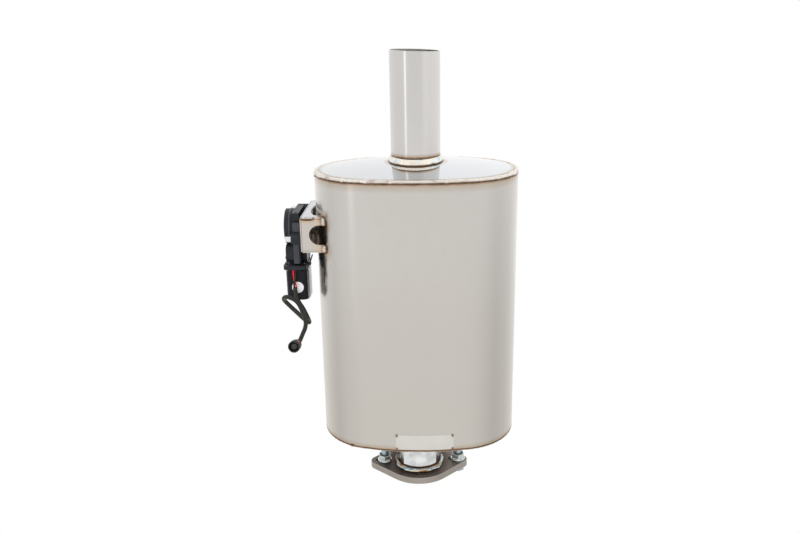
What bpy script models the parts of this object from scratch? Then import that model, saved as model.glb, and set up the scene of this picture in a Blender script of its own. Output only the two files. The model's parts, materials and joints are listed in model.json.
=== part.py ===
"""Valved oval muffler: a welded stainless can between a two-bolt inlet flange and a plain
outlet pipe, with a butterfly valve inside that a small motor gearbox turns from the side.

Frame: metres, +Z up along the pipes. The origin is the centre of the inlet flange's lower
(mating) face. +X points away from the motor gearbox, and -Y is the side with the label plate.
"""

import bmesh
import bpy
import math
from mathutils import Matrix, Vector

# Running gaps between separate pieces
GAP = 0.0003
SHAFT_CLEARANCE = 0.00008

# Pipes and inlet flange
PIPE_RADIUS = 0.03175
PIPE_WALL = 0.0016
OUTLET_RISE = 0.146
OUTLET_END_SLOPE = 0.042
OUTLET_BEAD_LEG = 0.0024
NECK_RISE = 0.060
NECK_BEAD_LEG = 0.0045
NECK_RECESS = 0.002
BODY_BEAD_LEG = 0.0028
PIPE_ENTRY = 0.014
FLANGE_THICKNESS = 0.010
FLANGE_COLLAR = 0.01825
FLANGE_EAR_RADIUS = 0.010
FLANGE_TURN = 3.0
FLANGE_EDGE = 0.0006
SLOT_MARGIN = 0.00995
SLOT_INSET = 0.0070
SLOT_LENGTH = 0.020
SLOT_WIDTH = 0.011

# Flange bolts and nuts, with the bolts pushed to one side in their slots
BOLT_RADIUS = 0.0049
BOLT_STANDOUT = 0.0075
BOLT_SHIFT = 0.0033
BOLT_OFFSET = 0.0006
HEX_FLATS = 0.0160
HEAD_HEIGHT = 0.0060
NUT_HEIGHT = 0.0095
NUT_FLANGE_RADIUS = 0.0104
NUT_FLANGE_HEIGHT = 0.0032
NUT_FLANGE_EDGE = 0.0010
BOLT_CHAMFER = 0.0007

# Oval body: two end arcs, and two long side arcs that stand BODY_SIDE_CROWN further out
BODY_HALF_LENGTH = 0.1310
BODY_HALF_WIDTH = 0.0841
BODY_SIDE_CROWN = 0.0059
BODY_HEIGHT = 0.366
BODY_WALL = 0.0015
END_PLATE_THICKNESS = 0.0020
TOP_RIM_RADIUS = 0.0025
TOP_DOME = 0.0100
DOME_SHARES = (0.80, 0.60, 0.42, 0.20)
BOTTOM_RIM_RADIUS = 0.0012
RIM_RECESS = 0.0010
RIM_STEPS = 3
LABEL_LENGTH = 0.0760
LABEL_HEIGHT = 0.0210
LABEL_THICKNESS = 0.0008
LABEL_LIFT = 0.0042
LABEL_SHIFT = 0.0098
LABEL_STEPS = 6

# Perforated cores and baffles
CORE_WALL = 0.0012
HOLE_RADIUS = 0.0055
HOLE_MARGIN = 0.002
LOWER_HOLE_PITCH = 0.0440
UPPER_HOLE_PITCH = 0.0128
HOLES_PER_ROW = 6
BAFFLE_THICKNESS = 0.0015
BAFFLE_RIM = 0.008
LOWER_BAFFLE_RISE = 0.120
UPPER_BAFFLE_CLEARANCE = 0.024
TRANSFER_HOLE_RADIUS = 0.017
TRANSFER_HOLE_REACH = 0.080
TRANSFER_HOLE_SPREAD = 0.030

# Butterfly valve, turning on an axis along X that lies SHAFT_DROP below the body's top
SHAFT_DROP = 0.077
SHAFT_RADIUS = 0.0040
SPIGOT_WALL = 0.00175
VALVE_HOUSING_STEP = 0.00575
VALVE_HOUSING_HALF = 0.023
SPIGOT_LENGTH = 0.012
BOSS_RADIUS = 0.0090
BOSS_STANDOUT = 0.0050
BUSH_RADIUS = 0.0060
BUSH_CAP_THICKNESS = 0.0020
BUSH_SETBACK = 0.0005
HOUSING_CHAMFER = 0.0015
DISC_CLEARANCE = 0.0005
DISC_THICKNESS = 0.0020
DISC_SCREW_REACH = 0.014
DISC_SCREW_RADIUS = 0.0015
DISC_SCREW_HEAD_RADIUS = 0.0028
DISC_SCREW_HEAD_HEIGHT = 0.0020
DISC_SCREW_HEAD_EDGE = 0.0007
DISC_SCREW_BITE = 0.0036
GUIDE_TUBE_RADIUS = 0.0070
GUIDE_TUBE_WALL = 0.0015
GUIDE_TUBE_STANDOUT = 0.0020
OUTER_BUSH_LENGTH = 0.012

# Bracket, a box of five plates open to the body. Its face, notches and root are measured from
# the body's end, outward and inward.
BRACKET_STANDOFF = 0.0155
BRACKET_WALL = 0.0020
BRACKET_HALF_HEIGHT = 0.0230
BRACKET_HALF_WIDTH = 0.0480
BRACKET_CORNER = 0.0018
BRACKET_NOTCH_RADIUS = 0.0128
BRACKET_NOTCH_STANDOFF = 0.0040
BRACKET_BODY_GAP = 0.0065
BRACKET_GAP_HALF_WIDTH = 0.0350
PILOT_RADIUS = 0.0137
BRACKET_FOLD = 0.0018
BRACKET_ROOT_DEPTH = 0.0310

# Shaft coupling
COUPLING_RADIUS = 0.0110
DRIVER_THICKNESS = 0.0030
TANG_WIDTH = 0.0050
TANG_LENGTH = 0.0038
FORK_LENGTH = 0.0073
FORK_GAP = 0.0005
TANG_INSET = 0.0010
OUTPUT_RADIUS = 0.0050
OUTPUT_DEPTH = 0.0143

# Gearbox, measured from the valve axis: up, and outward from the pipes' axis
GEARBOX_TOP = 0.0230
GEARBOX_BOTTOM = 0.0464
GEARBOX_HALF_WIDTH = 0.0270
GEARBOX_STANDOFF = 0.0047
GEARBOX_THICKNESS = 0.0091
GEARBOX_CORNER = 0.0040
GEARBOX_LEDGE_DROP = 0.0110
GEARBOX_LEDGE_DEPTH = 0.0030
EAR_RADIUS = 0.0065
EAR_ROOT_SHARE = 0.55
EAR_PLACES = ((-0.0090, -0.0345), (0.0165, 0.0290), (-0.0140, 0.0330))
MOTOR_NECK_FRONT = -0.012
MOTOR_NECK_BACK = 0.016
MOTOR_NECK_DEPTH = 0.0015
MOTOR_NECK_CLEARANCE = 0.0018
TIE_HOLE_RADIUS = 0.0020
TIE_HOLE_PLACE = -0.0190
TIE_HOLE_DEPTH = 0.0080
COVER_RADIUS = 0.0234
COVER_THICKNESS = 0.0110
COVER_LOBE_TOP = -0.0205
COVER_LOBE_BOTTOM = -0.0446
COVER_LOBE_HALF_WIDTH = 0.0252
COVER_LOBE_CORNER = 0.0075
COVER_SCREW_RADIUS = 0.0016
COVER_SCREW_HEAD_RADIUS = 0.0030
COVER_SCREW_HEAD_HEIGHT = 0.0014
COVER_SCREW_HEAD_EDGE = 0.0008
COVER_SCREW_BITE = 0.0050
COVER_SCREW_PLACES = ((0.0190, 0.0), (-0.0385, -0.0185), (-0.0385, 0.0185))
COVER_LOBE_STEP = 0.0010
COVER_GROOVE_DEPTH = 0.0012
COVER_GROOVE_INNER = 0.0105
COVER_GROOVE_OUTER = 0.0159
CAP_SCREW_RADIUS = 0.0025
CAP_SCREW_HEAD_RADIUS = 0.0040
CAP_SCREW_HEAD_LENGTH = 0.0075
CAP_SCREW_HEAD_EDGE = 0.0004
CAP_SCREW_SOCKET_FLATS = 0.0040
CAP_SCREW_SOCKET_DEPTH = 0.0037
CAP_SCREW_THROUGH = 0.0010
SCREW_HOLE_CLEARANCE = 0.0003

# Motor, hanging below the gearbox, its middle MOTOR_STANDOFF outward of the bracket's face
MOTOR_STANDOFF = 0.0112
MOTOR_SHIFT = -0.0080
MOTOR_WIDTH = 0.0308
MOTOR_DEPTH = 0.0360
MOTOR_HEIGHT = 0.0409
MOTOR_COLLAR_RADIUS = 0.0090
MOTOR_COLLAR_HEIGHT = 0.0022
MOTOR_CUP_RADIUS = 0.0055
MOTOR_CUP_HEIGHT = 0.0018
MOTOR_CORNER = 0.0090
MOTOR_EDGE = 0.0020
MOTOR_FLANGE_OFFSET = 0.0015
MOTOR_FLANGE_WIDTH = 0.0303
MOTOR_FLANGE_DEPTH = 0.0440
MOTOR_FLANGE_THICKNESS = 0.0054
MOTOR_FLANGE_CORNER = 0.0040
MOTOR_SCREW_HEAD_RADIUS = 0.0023
MOTOR_SCREW_HEAD_HEIGHT = 0.0013
MOTOR_SCREW_HEAD_EDGE = 0.0005
MOTOR_SCREW_RADIUS = 0.0012
MOTOR_SCREW_SPREAD = 0.0240
MOTOR_SCREW_FRONT = -0.0180
MOTOR_SCREW_OFFSET = 0.0008
MOTOR_SCREW_TIP = 0.0010
TIE_BAND_THICKNESS = 0.0009
TIE_BAND_WIDTH = 0.0025
TIE_BITE = 0.0030
TIE_PLACE = -0.0142
TIE_HEAD = 0.0032
TIE_TAIL_RADIUS = 0.0008
TIE_TAIL_LENGTH = 0.0125
TIE_TAIL_LEAN = 18.0

# Motor lead: routes in millimetres, chosen by hand from where the lead hangs
WIRE_RADIUS = 0.0011
SHEATH_RADIUS = 0.0028
RED_WIRE_ROUTE = (
    (-161.4, -28.7, 306.4),
    (-161.3, -28.6, 299.0),
    (-160.6, -28.2, 292.0),
    (-159.0, -28.8, 287.0),
    (-158.7, -29.4, 284.6),
    (-158.7, -29.4, 283.5),
)
BLACK_WIRE_ROUTE = (
    (-158.0, -28.7, 306.4),
    (-158.5, -29.8, 299.0),
    (-159.7, -30.8, 292.0),
    (-161.0, -30.2, 287.0),
    (-161.3, -29.8, 284.6),
    (-161.3, -29.8, 283.5),
)
SHEATH_ROUTE = (
    (-160.0, -29.6, 283.0),
    (-159.9, -29.6, 277.0),
    (-158.9, -29.5, 268.7),
    (-155.3, -29.9, 261.1),
    (-151.2, -29.8, 254.0),
    (-147.8, -31.2, 247.4),
    (-144.5, -35.3, 242.5),
    (-141.7, -42.0, 240.3),
    (-140.7, -50.1, 241.6),
    (-142.7, -57.4, 246.6),
    (-147.6, -60.8, 253.2),
    (-153.8, -60.3, 259.4),
    (-160.2, -58.9, 265.2),
    (-165.0, -59.5, 270.7),
    (-167.8, -62.4, 275.6),
    (-168.4, -67.2, 280.3),
    (-166.4, -71.5, 284.0),
    (-162.6, -75.4, 286.0),
    (-157.8, -78.3, 286.0),
    (-152.8, -79.8, 284.1),
    (-148.4, -80.2, 280.0),
    (-145.3, -79.4, 273.5),
    (-143.6, -74.5, 264.0),
    (-142.2, -70.2, 254.7),
    (-141.8, -68.3, 247.4),
    (-143.3, -67.7, 240.2),
    (-145.7, -69.2, 234.7),
    (-147.5, -72.3, 230.7),
    (-148.6, -76.4, 228.3),
    (-149.4, -81.1, 227.5),
    (-149.9, -86.9, 228.3),
)
BOOT_RADIUS = 0.0048
BOOT_LENGTH = 0.0055
COLLAR_RADIUS = 0.0063
COLLAR_LENGTH = 0.0055
MOUTH_RADIUS = 0.0075
MOUTH_WALL = 0.0013
MOUTH_LENGTH = 0.0100
MOUTH_RECESS = 0.0032
CONNECTOR_RIB = 0.0005
CONNECTOR_GAP = 0.0004
CORD_SPACING = 4.0
ROUTE_STEPS = 12

# Steps round a circle
ROUND_STEPS = 36
SMALL_STEPS = 24
SCREW_STEPS = 12
HOLE_SIDES = 8
TIE_HOLE_SIDES = 16
SHAFT_STEPS = 24
FLANGE_SIDE_STEPS = 16
FLANGE_EAR_STEPS = 8
END_ARC_STEPS = 20
SIDE_ARC_STEPS = 6
GAP_ARC_STEPS = 12
CORNER_STEPS = 3

# Heights and reaches that follow from the sizes above
FLANGE_BORE = PIPE_RADIUS + GAP
FLANGE_MIDDLE_RADIUS = PIPE_RADIUS + FLANGE_COLLAR
SLOT_REACH = FLANGE_BORE + SLOT_MARGIN + 0.5 * SLOT_LENGTH
FLANGE_EAR_REACH = SLOT_REACH + SLOT_INSET
BOLT_SPREAD = SLOT_REACH + BOLT_OFFSET
BODY_BOTTOM = FLANGE_THICKNESS + NECK_RISE
BODY_TOP = BODY_BOTTOM + BODY_HEIGHT
BODY_END_RADIUS = BODY_HALF_WIDTH - BODY_SIDE_CROWN
BODY_END_CENTRE = BODY_HALF_LENGTH - BODY_END_RADIUS
BODY_SIDE_OFFSET = (BODY_END_CENTRE**2 - BODY_SIDE_CROWN**2) / (2.0 * BODY_SIDE_CROWN)
BODY_SIDE_RADIUS = BODY_HALF_WIDTH + BODY_SIDE_OFFSET
SHAFT_HEIGHT = BODY_TOP - SHAFT_DROP
LOWER_BAFFLE_HEIGHT = BODY_BOTTOM + LOWER_BAFFLE_RISE
UPPER_BAFFLE_HEIGHT = SHAFT_HEIGHT - VALVE_HOUSING_HALF - UPPER_BAFFLE_CLEARANCE
BOTTOM_PLATE_INNER = BODY_BOTTOM + RIM_RECESS + END_PLATE_THICKNESS
TOP_PLATE_INNER = BODY_TOP - RIM_RECESS - END_PLATE_THICKNESS
PIPE_BORE = PIPE_RADIUS - PIPE_WALL
CORE_BORE = PIPE_RADIUS + GAP
CORE_RADIUS = CORE_BORE + CORE_WALL
VALVE_BORE_RADIUS = PIPE_RADIUS - SPIGOT_WALL
VALVE_HOUSING_RADIUS = PIPE_RADIUS + VALVE_HOUSING_STEP
BOSS_END = VALVE_HOUSING_RADIUS + BOSS_STANDOUT
DISC_RADIUS = VALVE_BORE_RADIUS - DISC_CLEARANCE
GUIDE_TUBE_END = BODY_HALF_LENGTH + GUIDE_TUBE_STANDOUT
FORK_INNER = GUIDE_TUBE_END + FORK_GAP
FORK_OUTER = FORK_INNER + FORK_LENGTH
FORK_SLOT_FLOOR = FORK_OUTER - TANG_LENGTH - GAP
DRIVER_INNER = FORK_OUTER + GAP
DRIVER_OUTER = DRIVER_INNER + DRIVER_THICKNESS
BRACKET_FACE = BODY_HALF_LENGTH + BRACKET_STANDOFF
BRACKET_INNER = BRACKET_FACE - BRACKET_WALL
BRACKET_ROOT = BODY_HALF_LENGTH - BRACKET_ROOT_DEPTH
BRACKET_NOTCH_END = BODY_HALF_LENGTH + BRACKET_NOTCH_STANDOFF
GEARBOX_INNER = BRACKET_FACE + GEARBOX_STANDOFF
GEARBOX_OUTER = GEARBOX_INNER + GEARBOX_THICKNESS
COVER_INNER = GEARBOX_OUTER + GAP
COVER_OUTER = COVER_INNER + COVER_THICKNESS
MOTOR_NECK_INNER = BRACKET_FACE - MOTOR_NECK_DEPTH
MOTOR_REACH = BRACKET_FACE + MOTOR_STANDOFF
MOTOR_FLANGE_REACH = MOTOR_REACH + MOTOR_FLANGE_OFFSET
MOTOR_SCREW_REACH = MOTOR_FLANGE_REACH + MOTOR_SCREW_OFFSET
MOTOR_FLANGE_TOP = SHAFT_HEIGHT - GEARBOX_BOTTOM - GAP
MOTOR_FLANGE_UNDER = MOTOR_FLANGE_TOP - MOTOR_FLANGE_THICKNESS
MOTOR_TOP = MOTOR_FLANGE_UNDER - GAP - MOTOR_COLLAR_HEIGHT


def clear_scene():
    for item in list(bpy.data.objects):
        bpy.data.objects.remove(item, do_unlink=True)


def finish_material(name, colour, metallic, roughness):
    """A Principled material with the piece's own colour, metal value and roughness."""
    made = bpy.data.materials.new(name)
    made.use_nodes = True
    shader = made.node_tree.nodes["Principled BSDF"]
    shader.inputs["Base Color"].default_value = (*colour, 1.0)
    shader.inputs["Metallic"].default_value = metallic
    shader.inputs["Roughness"].default_value = roughness
    made.diffuse_color = (*colour, 1.0)
    return made


def make_materials():
    rows = {
        "satin_stainless": ((0.62, 0.60, 0.58), 1.0, 0.34),
        "bright_stainless": ((0.74, 0.73, 0.72), 1.0, 0.16),
        "pipe_stainless": ((0.60, 0.58, 0.56), 1.0, 0.28),
        "flange_steel": ((0.36, 0.33, 0.31), 1.0, 0.42),
        "zinc_steel": ((0.62, 0.68, 0.70), 1.0, 0.30),
        "inner_steel": ((0.50, 0.48, 0.46), 1.0, 0.45),
        "bronze": ((0.55, 0.38, 0.18), 1.0, 0.40),
        "bracket_stainless": ((0.72, 0.68, 0.64), 1.0, 0.32),
        "black_plastic": ((0.018, 0.019, 0.022), 0.0, 0.38),
        "motor_steel": ((0.42, 0.42, 0.41), 1.0, 0.35),
        "tie_nylon": ((0.02, 0.02, 0.02), 0.0, 0.45),
        "red_insulation": ((0.65, 0.02, 0.03), 0.0, 0.40),
        "black_insulation": ((0.015, 0.015, 0.015), 0.0, 0.45),
        "sheath_rubber": ((0.020, 0.021, 0.018), 0.0, 0.55),
        "label_metal": ((0.80, 0.79, 0.76), 1.0, 0.40),
    }
    return {name: finish_material(name, *row) for name, row in rows.items()}


def add_empty(name, place, turn=(0.0, 0.0, 0.0)):
    empty = bpy.data.objects.new(name, None)
    empty.location = place
    empty.rotation_euler = turn
    bpy.context.collection.objects.link(empty)
    return empty


def add_object(name, shape, finish, parent=None):
    """Closes a bmesh into a named object, faces outward, shaded smooth between sharp edges."""
    bmesh.ops.recalc_face_normals(shape, faces=shape.faces)
    mesh = bpy.data.meshes.new(name)
    shape.to_mesh(mesh)
    shape.free()
    mesh.materials.append(finish)
    mesh.shade_smooth()
    mesh.set_sharp_from_angle(angle=math.radians(32))
    item = bpy.data.objects.new(name, mesh)
    item.parent = parent
    bpy.context.collection.objects.link(item)
    return item


def add_copy(name, original, place, parent=None):
    """A repeated piece: its own object on the first one's mesh."""
    item = bpy.data.objects.new(name, original.data)
    item.parent = parent
    item.location = place
    bpy.context.collection.objects.link(item)
    return item


def combine(item, tool, operation):
    """Cuts or joins with another object, which stays in the file as a hidden guide."""
    tool.hide_render = True
    tool.display_type = "WIRE"
    tool.name = "guide_" + tool.name
    step = item.modifiers.new(operation.lower(), "BOOLEAN")
    step.operation = operation
    step.solver = "EXACT"
    step.object = tool


def carve(item, tool):
    combine(item, tool, "DIFFERENCE")


def fuse(item, tool):
    combine(item, tool, "UNION")


def round_off(item, width, segments=2, angle=40.0):
    step = item.modifiers.new("round_off", "BEVEL")
    step.width = width
    step.segments = segments
    step.limit_method = "ANGLE"
    step.angle_limit = math.radians(angle)


def arc(centre, radius, start, end, steps):
    """Points along an arc, angles in radians, both ends included."""
    points = []
    for index in range(steps + 1):
        angle = start + (end - start) * index / steps
        points.append((centre[0] + radius * math.cos(angle), centre[1] + radius * math.sin(angle)))
    return points


def circle(radius, steps=ROUND_STEPS, centre=(0.0, 0.0)):
    return arc(centre, radius, 0.0, 2.0 * math.pi, steps)[:-1]


def hexagon(flats):
    return circle(flats / math.sqrt(3.0), 6)


def rounded_box(low, high, corner, steps=CORNER_STEPS):
    """A rectangle from low to high with four round corners."""
    centres = (
        (high[0] - corner, high[1] - corner),
        (low[0] + corner, high[1] - corner),
        (low[0] + corner, low[1] + corner),
        (high[0] - corner, low[1] + corner),
    )
    points = []
    for quarter, centre in enumerate(centres):
        start = 0.5 * math.pi * quarter
        points += arc(centre, corner, start, start + 0.5 * math.pi, steps)
    return points


def capsule(first, second, radius, steps=12):
    """Two half circles of one radius joined by straight sides."""
    heading = math.atan2(second[1] - first[1], second[0] - first[0])
    quarter = 0.5 * math.pi
    ahead = arc(second, radius, heading - quarter, heading + quarter, steps)
    behind = arc(first, radius, heading + quarter, heading + 3.0 * quarter, steps)
    return ahead + behind


def oval(inset=0.0):
    """The body's outline of four tangent arcs, moved inward by inset (outward if negative)."""
    end_radius = BODY_END_RADIUS - inset
    side_radius = BODY_SIDE_RADIUS - inset
    join = math.atan2(BODY_SIDE_OFFSET, BODY_END_CENTRE)
    right = arc((BODY_END_CENTRE, 0.0), end_radius, -join, join, END_ARC_STEPS)
    back = arc((0.0, -BODY_SIDE_OFFSET), side_radius, join, math.pi - join, SIDE_ARC_STEPS)
    left = arc((-BODY_END_CENTRE, 0.0), end_radius, math.pi - join, math.pi + join, END_ARC_STEPS)
    front = arc((0.0, BODY_SIDE_OFFSET), side_radius, math.pi + join, 2.0 * math.pi - join, SIDE_ARC_STEPS)
    return right[:-1] + back[:-1] + left[:-1] + front[:-1]


def skin(rings, closed):
    """Faces between rings of equal length. closed joins the last ring to the first, as on a
    tube wall; otherwise flat faces close both ends."""
    shape = bmesh.new()
    rows = [[shape.verts.new(point) for point in ring] for ring in rings]
    pairs = list(zip(rows, rows[1:]))
    if closed:
        pairs.append((rows[-1], rows[0]))
    else:
        shape.faces.new(rows[0])
        shape.faces.new(rows[-1])
    for lower, upper in pairs:
        for index in range(len(lower)):
            after = (index + 1) % len(lower)
            shape.faces.new((lower[index], lower[after], upper[after], upper[index]))
    return shape


def raised(outline, height):
    return [(x, y, height) for x, y in outline]


def prism(outline, low, high):
    return skin([raised(outline, low), raised(outline, high)], closed=False)


def turned(profile, steps=ROUND_STEPS, closed=True):
    """A turned piece from (radius, height) points: a ring if closed, else a solid."""
    return skin([raised(circle(radius, steps), height) for radius, height in profile], closed)


def dome_rise(x, y):
    """How far the top plate is pressed up at (x, y): TOP_DOME (1 - s^2), with s the share of the
    way from the pipes' axis to the rim."""
    share = (x / BODY_HALF_LENGTH)**2 + (y / BODY_HALF_WIDTH)**2
    return TOP_DOME * (1.0 - share)


def oval_walled(profile, closed):
    """A piece with the body's oval plan from (inset, height) points."""
    return skin([raised(oval(inset), height) for inset, height in profile], closed)


def fillet_bead(radius, base, leg, direction):
    """A slightly crowned fillet weld on a tube: from the plate at base up or down the tube."""
    mid = 0.56 * leg
    return [(radius + leg, base), (radius + mid, base + direction * mid), (radius, base + direction * leg)]


def hexagonal(flats, height, steps=SMALL_STEPS):
    """A ring of points along a hexagon, so that it can be skinned to a circle."""
    points = []
    for index in range(steps):
        angle = 2.0 * math.pi * index / steps
        off_flat = (angle + math.pi / 6.0) % (math.pi / 3.0) - math.pi / 6.0
        reach = 0.5 * flats / math.cos(off_flat)
        points.append((reach * math.cos(angle), reach * math.sin(angle), height))
    return points


def round_ring(radius, height, steps=SMALL_STEPS):
    return raised(circle(radius, steps), height)


def joined(shapes):
    """One bmesh that holds several separate closed shapes."""
    whole = shapes[0]
    for shape in shapes[1:]:
        spare = bpy.data.meshes.new("spare")
        shape.to_mesh(spare)
        shape.free()
        whole.from_mesh(spare)
        bpy.data.meshes.remove(spare)
    return whole


def add_tool(name, shape, parent=None, turn=(0.0, 0.0, 0.0), place=(0.0, 0.0, 0.0)):
    """A guide solid that cuts or joins others."""
    tool = add_object(name, shape, bpy.data.materials["inner_steel"], parent)
    tool.rotation_euler = turn
    tool.location = place
    return tool


def make_flange(finishes, frame):
    """Two-bolt flange: one plate with a bore for the neck and a slot for each bolt."""
    spread = FLANGE_MIDDLE_RADIUS - FLANGE_EAR_RADIUS
    lean = math.acos(spread / FLANGE_EAR_REACH)
    ear = FLANGE_EAR_RADIUS
    side = FLANGE_MIDDLE_RADIUS
    right = arc((FLANGE_EAR_REACH, 0.0), ear, -lean, lean, FLANGE_EAR_STEPS)
    back = arc((0.0, 0.0), side, lean, math.pi - lean, FLANGE_SIDE_STEPS)
    left = arc((-FLANGE_EAR_REACH, 0.0), ear, math.pi - lean, math.pi + lean, FLANGE_EAR_STEPS)
    front = arc((0.0, 0.0), side, math.pi + lean, 2.0 * math.pi - lean, FLANGE_SIDE_STEPS)
    plate = prism(right + back + left + front, 0.0, FLANGE_THICKNESS)
    flange = add_object("inlet_flange", plate, finishes["flange_steel"], frame)
    round_off(flange, FLANGE_EDGE, segments=1)
    through = (-FLANGE_THICKNESS, 2.0 * FLANGE_THICKNESS)
    half = 0.5 * (SLOT_LENGTH - SLOT_WIDTH)
    holes = [prism(circle(FLANGE_BORE), *through)]
    for side in (-1.0, 1.0):
        middle = side * SLOT_REACH
        slot = capsule((middle - half, 0.0), (middle + half, 0.0), 0.5 * SLOT_WIDTH)
        holes.append(prism(slot, *through))
    carve(flange, add_tool("flange_holes", joined(holes), frame))


def make_flange_bolts(finishes, frame):
    """Bolts pushed up through the slots, with flange nuts run down on the plate's upper face."""
    tip = FLANGE_THICKNESS + GAP + NUT_HEIGHT + BOLT_STANDOUT
    bolt_rings = [
        hexagonal(HEX_FLATS, -GAP - HEAD_HEIGHT),
        hexagonal(HEX_FLATS, -GAP),
        round_ring(BOLT_RADIUS, -GAP),
        round_ring(BOLT_RADIUS, tip - BOLT_CHAMFER),
        round_ring(BOLT_RADIUS - BOLT_CHAMFER, tip),
    ]
    bore = BOLT_RADIUS + GAP
    nut_rings = [
        round_ring(bore, 0.0),
        round_ring(NUT_FLANGE_RADIUS, 0.0),
        round_ring(NUT_FLANGE_RADIUS, NUT_FLANGE_EDGE),
        hexagonal(HEX_FLATS, NUT_FLANGE_HEIGHT),
        hexagonal(HEX_FLATS, NUT_HEIGHT - BOLT_CHAMFER),
        round_ring(0.5 * HEX_FLATS - BOLT_CHAMFER, NUT_HEIGHT),
        round_ring(bore, NUT_HEIGHT),
    ]
    zinc = finishes["zinc_steel"]
    right_reach = BOLT_SPREAD + BOLT_SHIFT
    left_reach = BOLT_SHIFT - BOLT_SPREAD
    seat = FLANGE_THICKNESS + GAP
    bolt = add_object("flange_bolt_right", skin(bolt_rings, closed=False), zinc, frame)
    bolt.location = (right_reach, 0.0, 0.0)
    add_copy("flange_bolt_left", bolt, (left_reach, 0.0, 0.0), frame)
    nut = add_object("flange_nut_right", skin(nut_rings, closed=True), zinc, frame)
    nut.location = (right_reach, 0.0, seat)
    add_copy("flange_nut_left", nut, (left_reach, 0.0, seat), frame)


def make_inlet_neck(finishes):
    """Pipe from the flange into the body, with its two ring welds."""
    lower = fillet_bead(PIPE_RADIUS, FLANGE_THICKNESS + GAP, NECK_BEAD_LEG, 1.0)
    upper = fillet_bead(PIPE_RADIUS, BODY_BOTTOM + RIM_RECESS - GAP, BODY_BEAD_LEG, -1.0)
    profile = [(PIPE_BORE, NECK_RECESS), (PIPE_RADIUS, NECK_RECESS)]
    profile += [(PIPE_RADIUS, FLANGE_THICKNESS + GAP)] + lower
    profile += upper[::-1] + [(PIPE_RADIUS, BODY_BOTTOM + RIM_RECESS - GAP)]
    profile += [(PIPE_RADIUS, BODY_BOTTOM + PIPE_ENTRY), (PIPE_BORE, BODY_BOTTOM + PIPE_ENTRY)]
    add_object("inlet_neck", turned(profile), finishes["pipe_stainless"])


def make_outlet_pipe(finishes):
    """Plain pipe out of the top plate, its end cut slightly out of square."""
    end = BODY_TOP + OUTLET_RISE
    seat = BODY_TOP - RIM_RECESS + GAP
    profile = [(PIPE_BORE, BODY_TOP - PIPE_ENTRY), (PIPE_RADIUS, BODY_TOP - PIPE_ENTRY)]
    profile += [(PIPE_RADIUS, seat)] + fillet_bead(PIPE_RADIUS, seat, OUTLET_BEAD_LEG, 1.0)
    profile += [(PIPE_RADIUS, end), (PIPE_BORE, end)]
    shape = turned(profile)
    for vertex in shape.verts:
        if vertex.co.z > end - GAP:
            vertex.co.z -= OUTLET_END_SLOPE * vertex.co.x
        elif vertex.co.z > seat - GAP:
            vertex.co.z += dome_rise(vertex.co.x, vertex.co.y)
    add_object("outlet_pipe", shape, finishes["pipe_stainless"])


def rim_profile(rim):
    """Section of an end plate as (inset, depth) from the body's edge: a flat plate with a
    rounded weld rim of radius rim over the edge of the shell."""
    lift = rim - RIM_RECESS
    start = math.asin(lift / rim)
    section = [(rim + u, rim - v) for u, v in arc((0.0, 0.0), rim, start, math.pi, RIM_STEPS)]
    section += [(0.0, 2.0 * rim), (2.0 * rim, 2.0 * rim)]
    section.append((2.0 * rim, RIM_RECESS + END_PLATE_THICKNESS))
    return section


def domed(edge):
    """Rings that carry the top plate's dome inward from an (inset, height) edge of it."""
    inset, height = edge
    rings = []
    for share in DOME_SHARES:
        outline = [(share * x, share * y) for x, y in oval(inset)]
        rings.append([(x, y, height + TOP_DOME * (1.0 - share**2)) for x, y in outline])
    return rings


def make_body(finishes):
    """The rolled oval shell, the domed plate welded over its top and the flat one below."""
    low = BODY_BOTTOM + 2.0 * BOTTOM_RIM_RADIUS + GAP
    high = BODY_TOP - 2.0 * TOP_RIM_RADIUS - GAP
    wall = [(0.0, low), (0.0, high), (BODY_WALL, high), (BODY_WALL, low)]
    shell = add_object("body_shell", oval_walled(wall, closed=True), finishes["satin_stainless"])
    top = [(inset, BODY_TOP - depth) for inset, depth in rim_profile(TOP_RIM_RADIUS)]
    rings = [raised(oval(inset), height) for inset, height in top]
    rings = domed(top[0])[::-1] + rings + domed(top[-1])
    top_plate = add_object("top_end_plate", skin(rings, closed=False), finishes["bright_stainless"])
    bottom = [(inset, BODY_BOTTOM + depth) for inset, depth in rim_profile(BOTTOM_RIM_RADIUS)]
    bottom_plate = add_object("bottom_end_plate", oval_walled(bottom, closed=False),
                              finishes["satin_stainless"])
    hole = add_tool("pipe_hole", prism(circle(PIPE_RADIUS + GAP), 0.0, BODY_TOP + 2.0 * TOP_DOME))
    carve(top_plate, hole)
    carve(bottom_plate, hole)
    return shell


def make_label(finishes):
    """Thin plate that follows the body's front, spot-welded just above the lower rim."""
    inner = BODY_SIDE_RADIUS + GAP
    outer = inner + LABEL_THICKNESS
    low = BODY_BOTTOM + LABEL_LIFT
    high = low + LABEL_HEIGHT
    middle = 1.5 * math.pi + LABEL_SHIFT / inner
    half = 0.5 * LABEL_LENGTH / inner
    centre = (0.0, BODY_SIDE_OFFSET)
    inner_line = arc(centre, inner, middle - half, middle + half, LABEL_STEPS)
    outer_line = arc(centre, outer, middle - half, middle + half, LABEL_STEPS)
    rings = []
    for near, far in zip(inner_line, outer_line):
        rings.append([(*near, low), (*far, low), (*far, high), (*near, high)])
    add_object("label_plate", skin(rings, closed=False), finishes["label_metal"])


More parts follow.
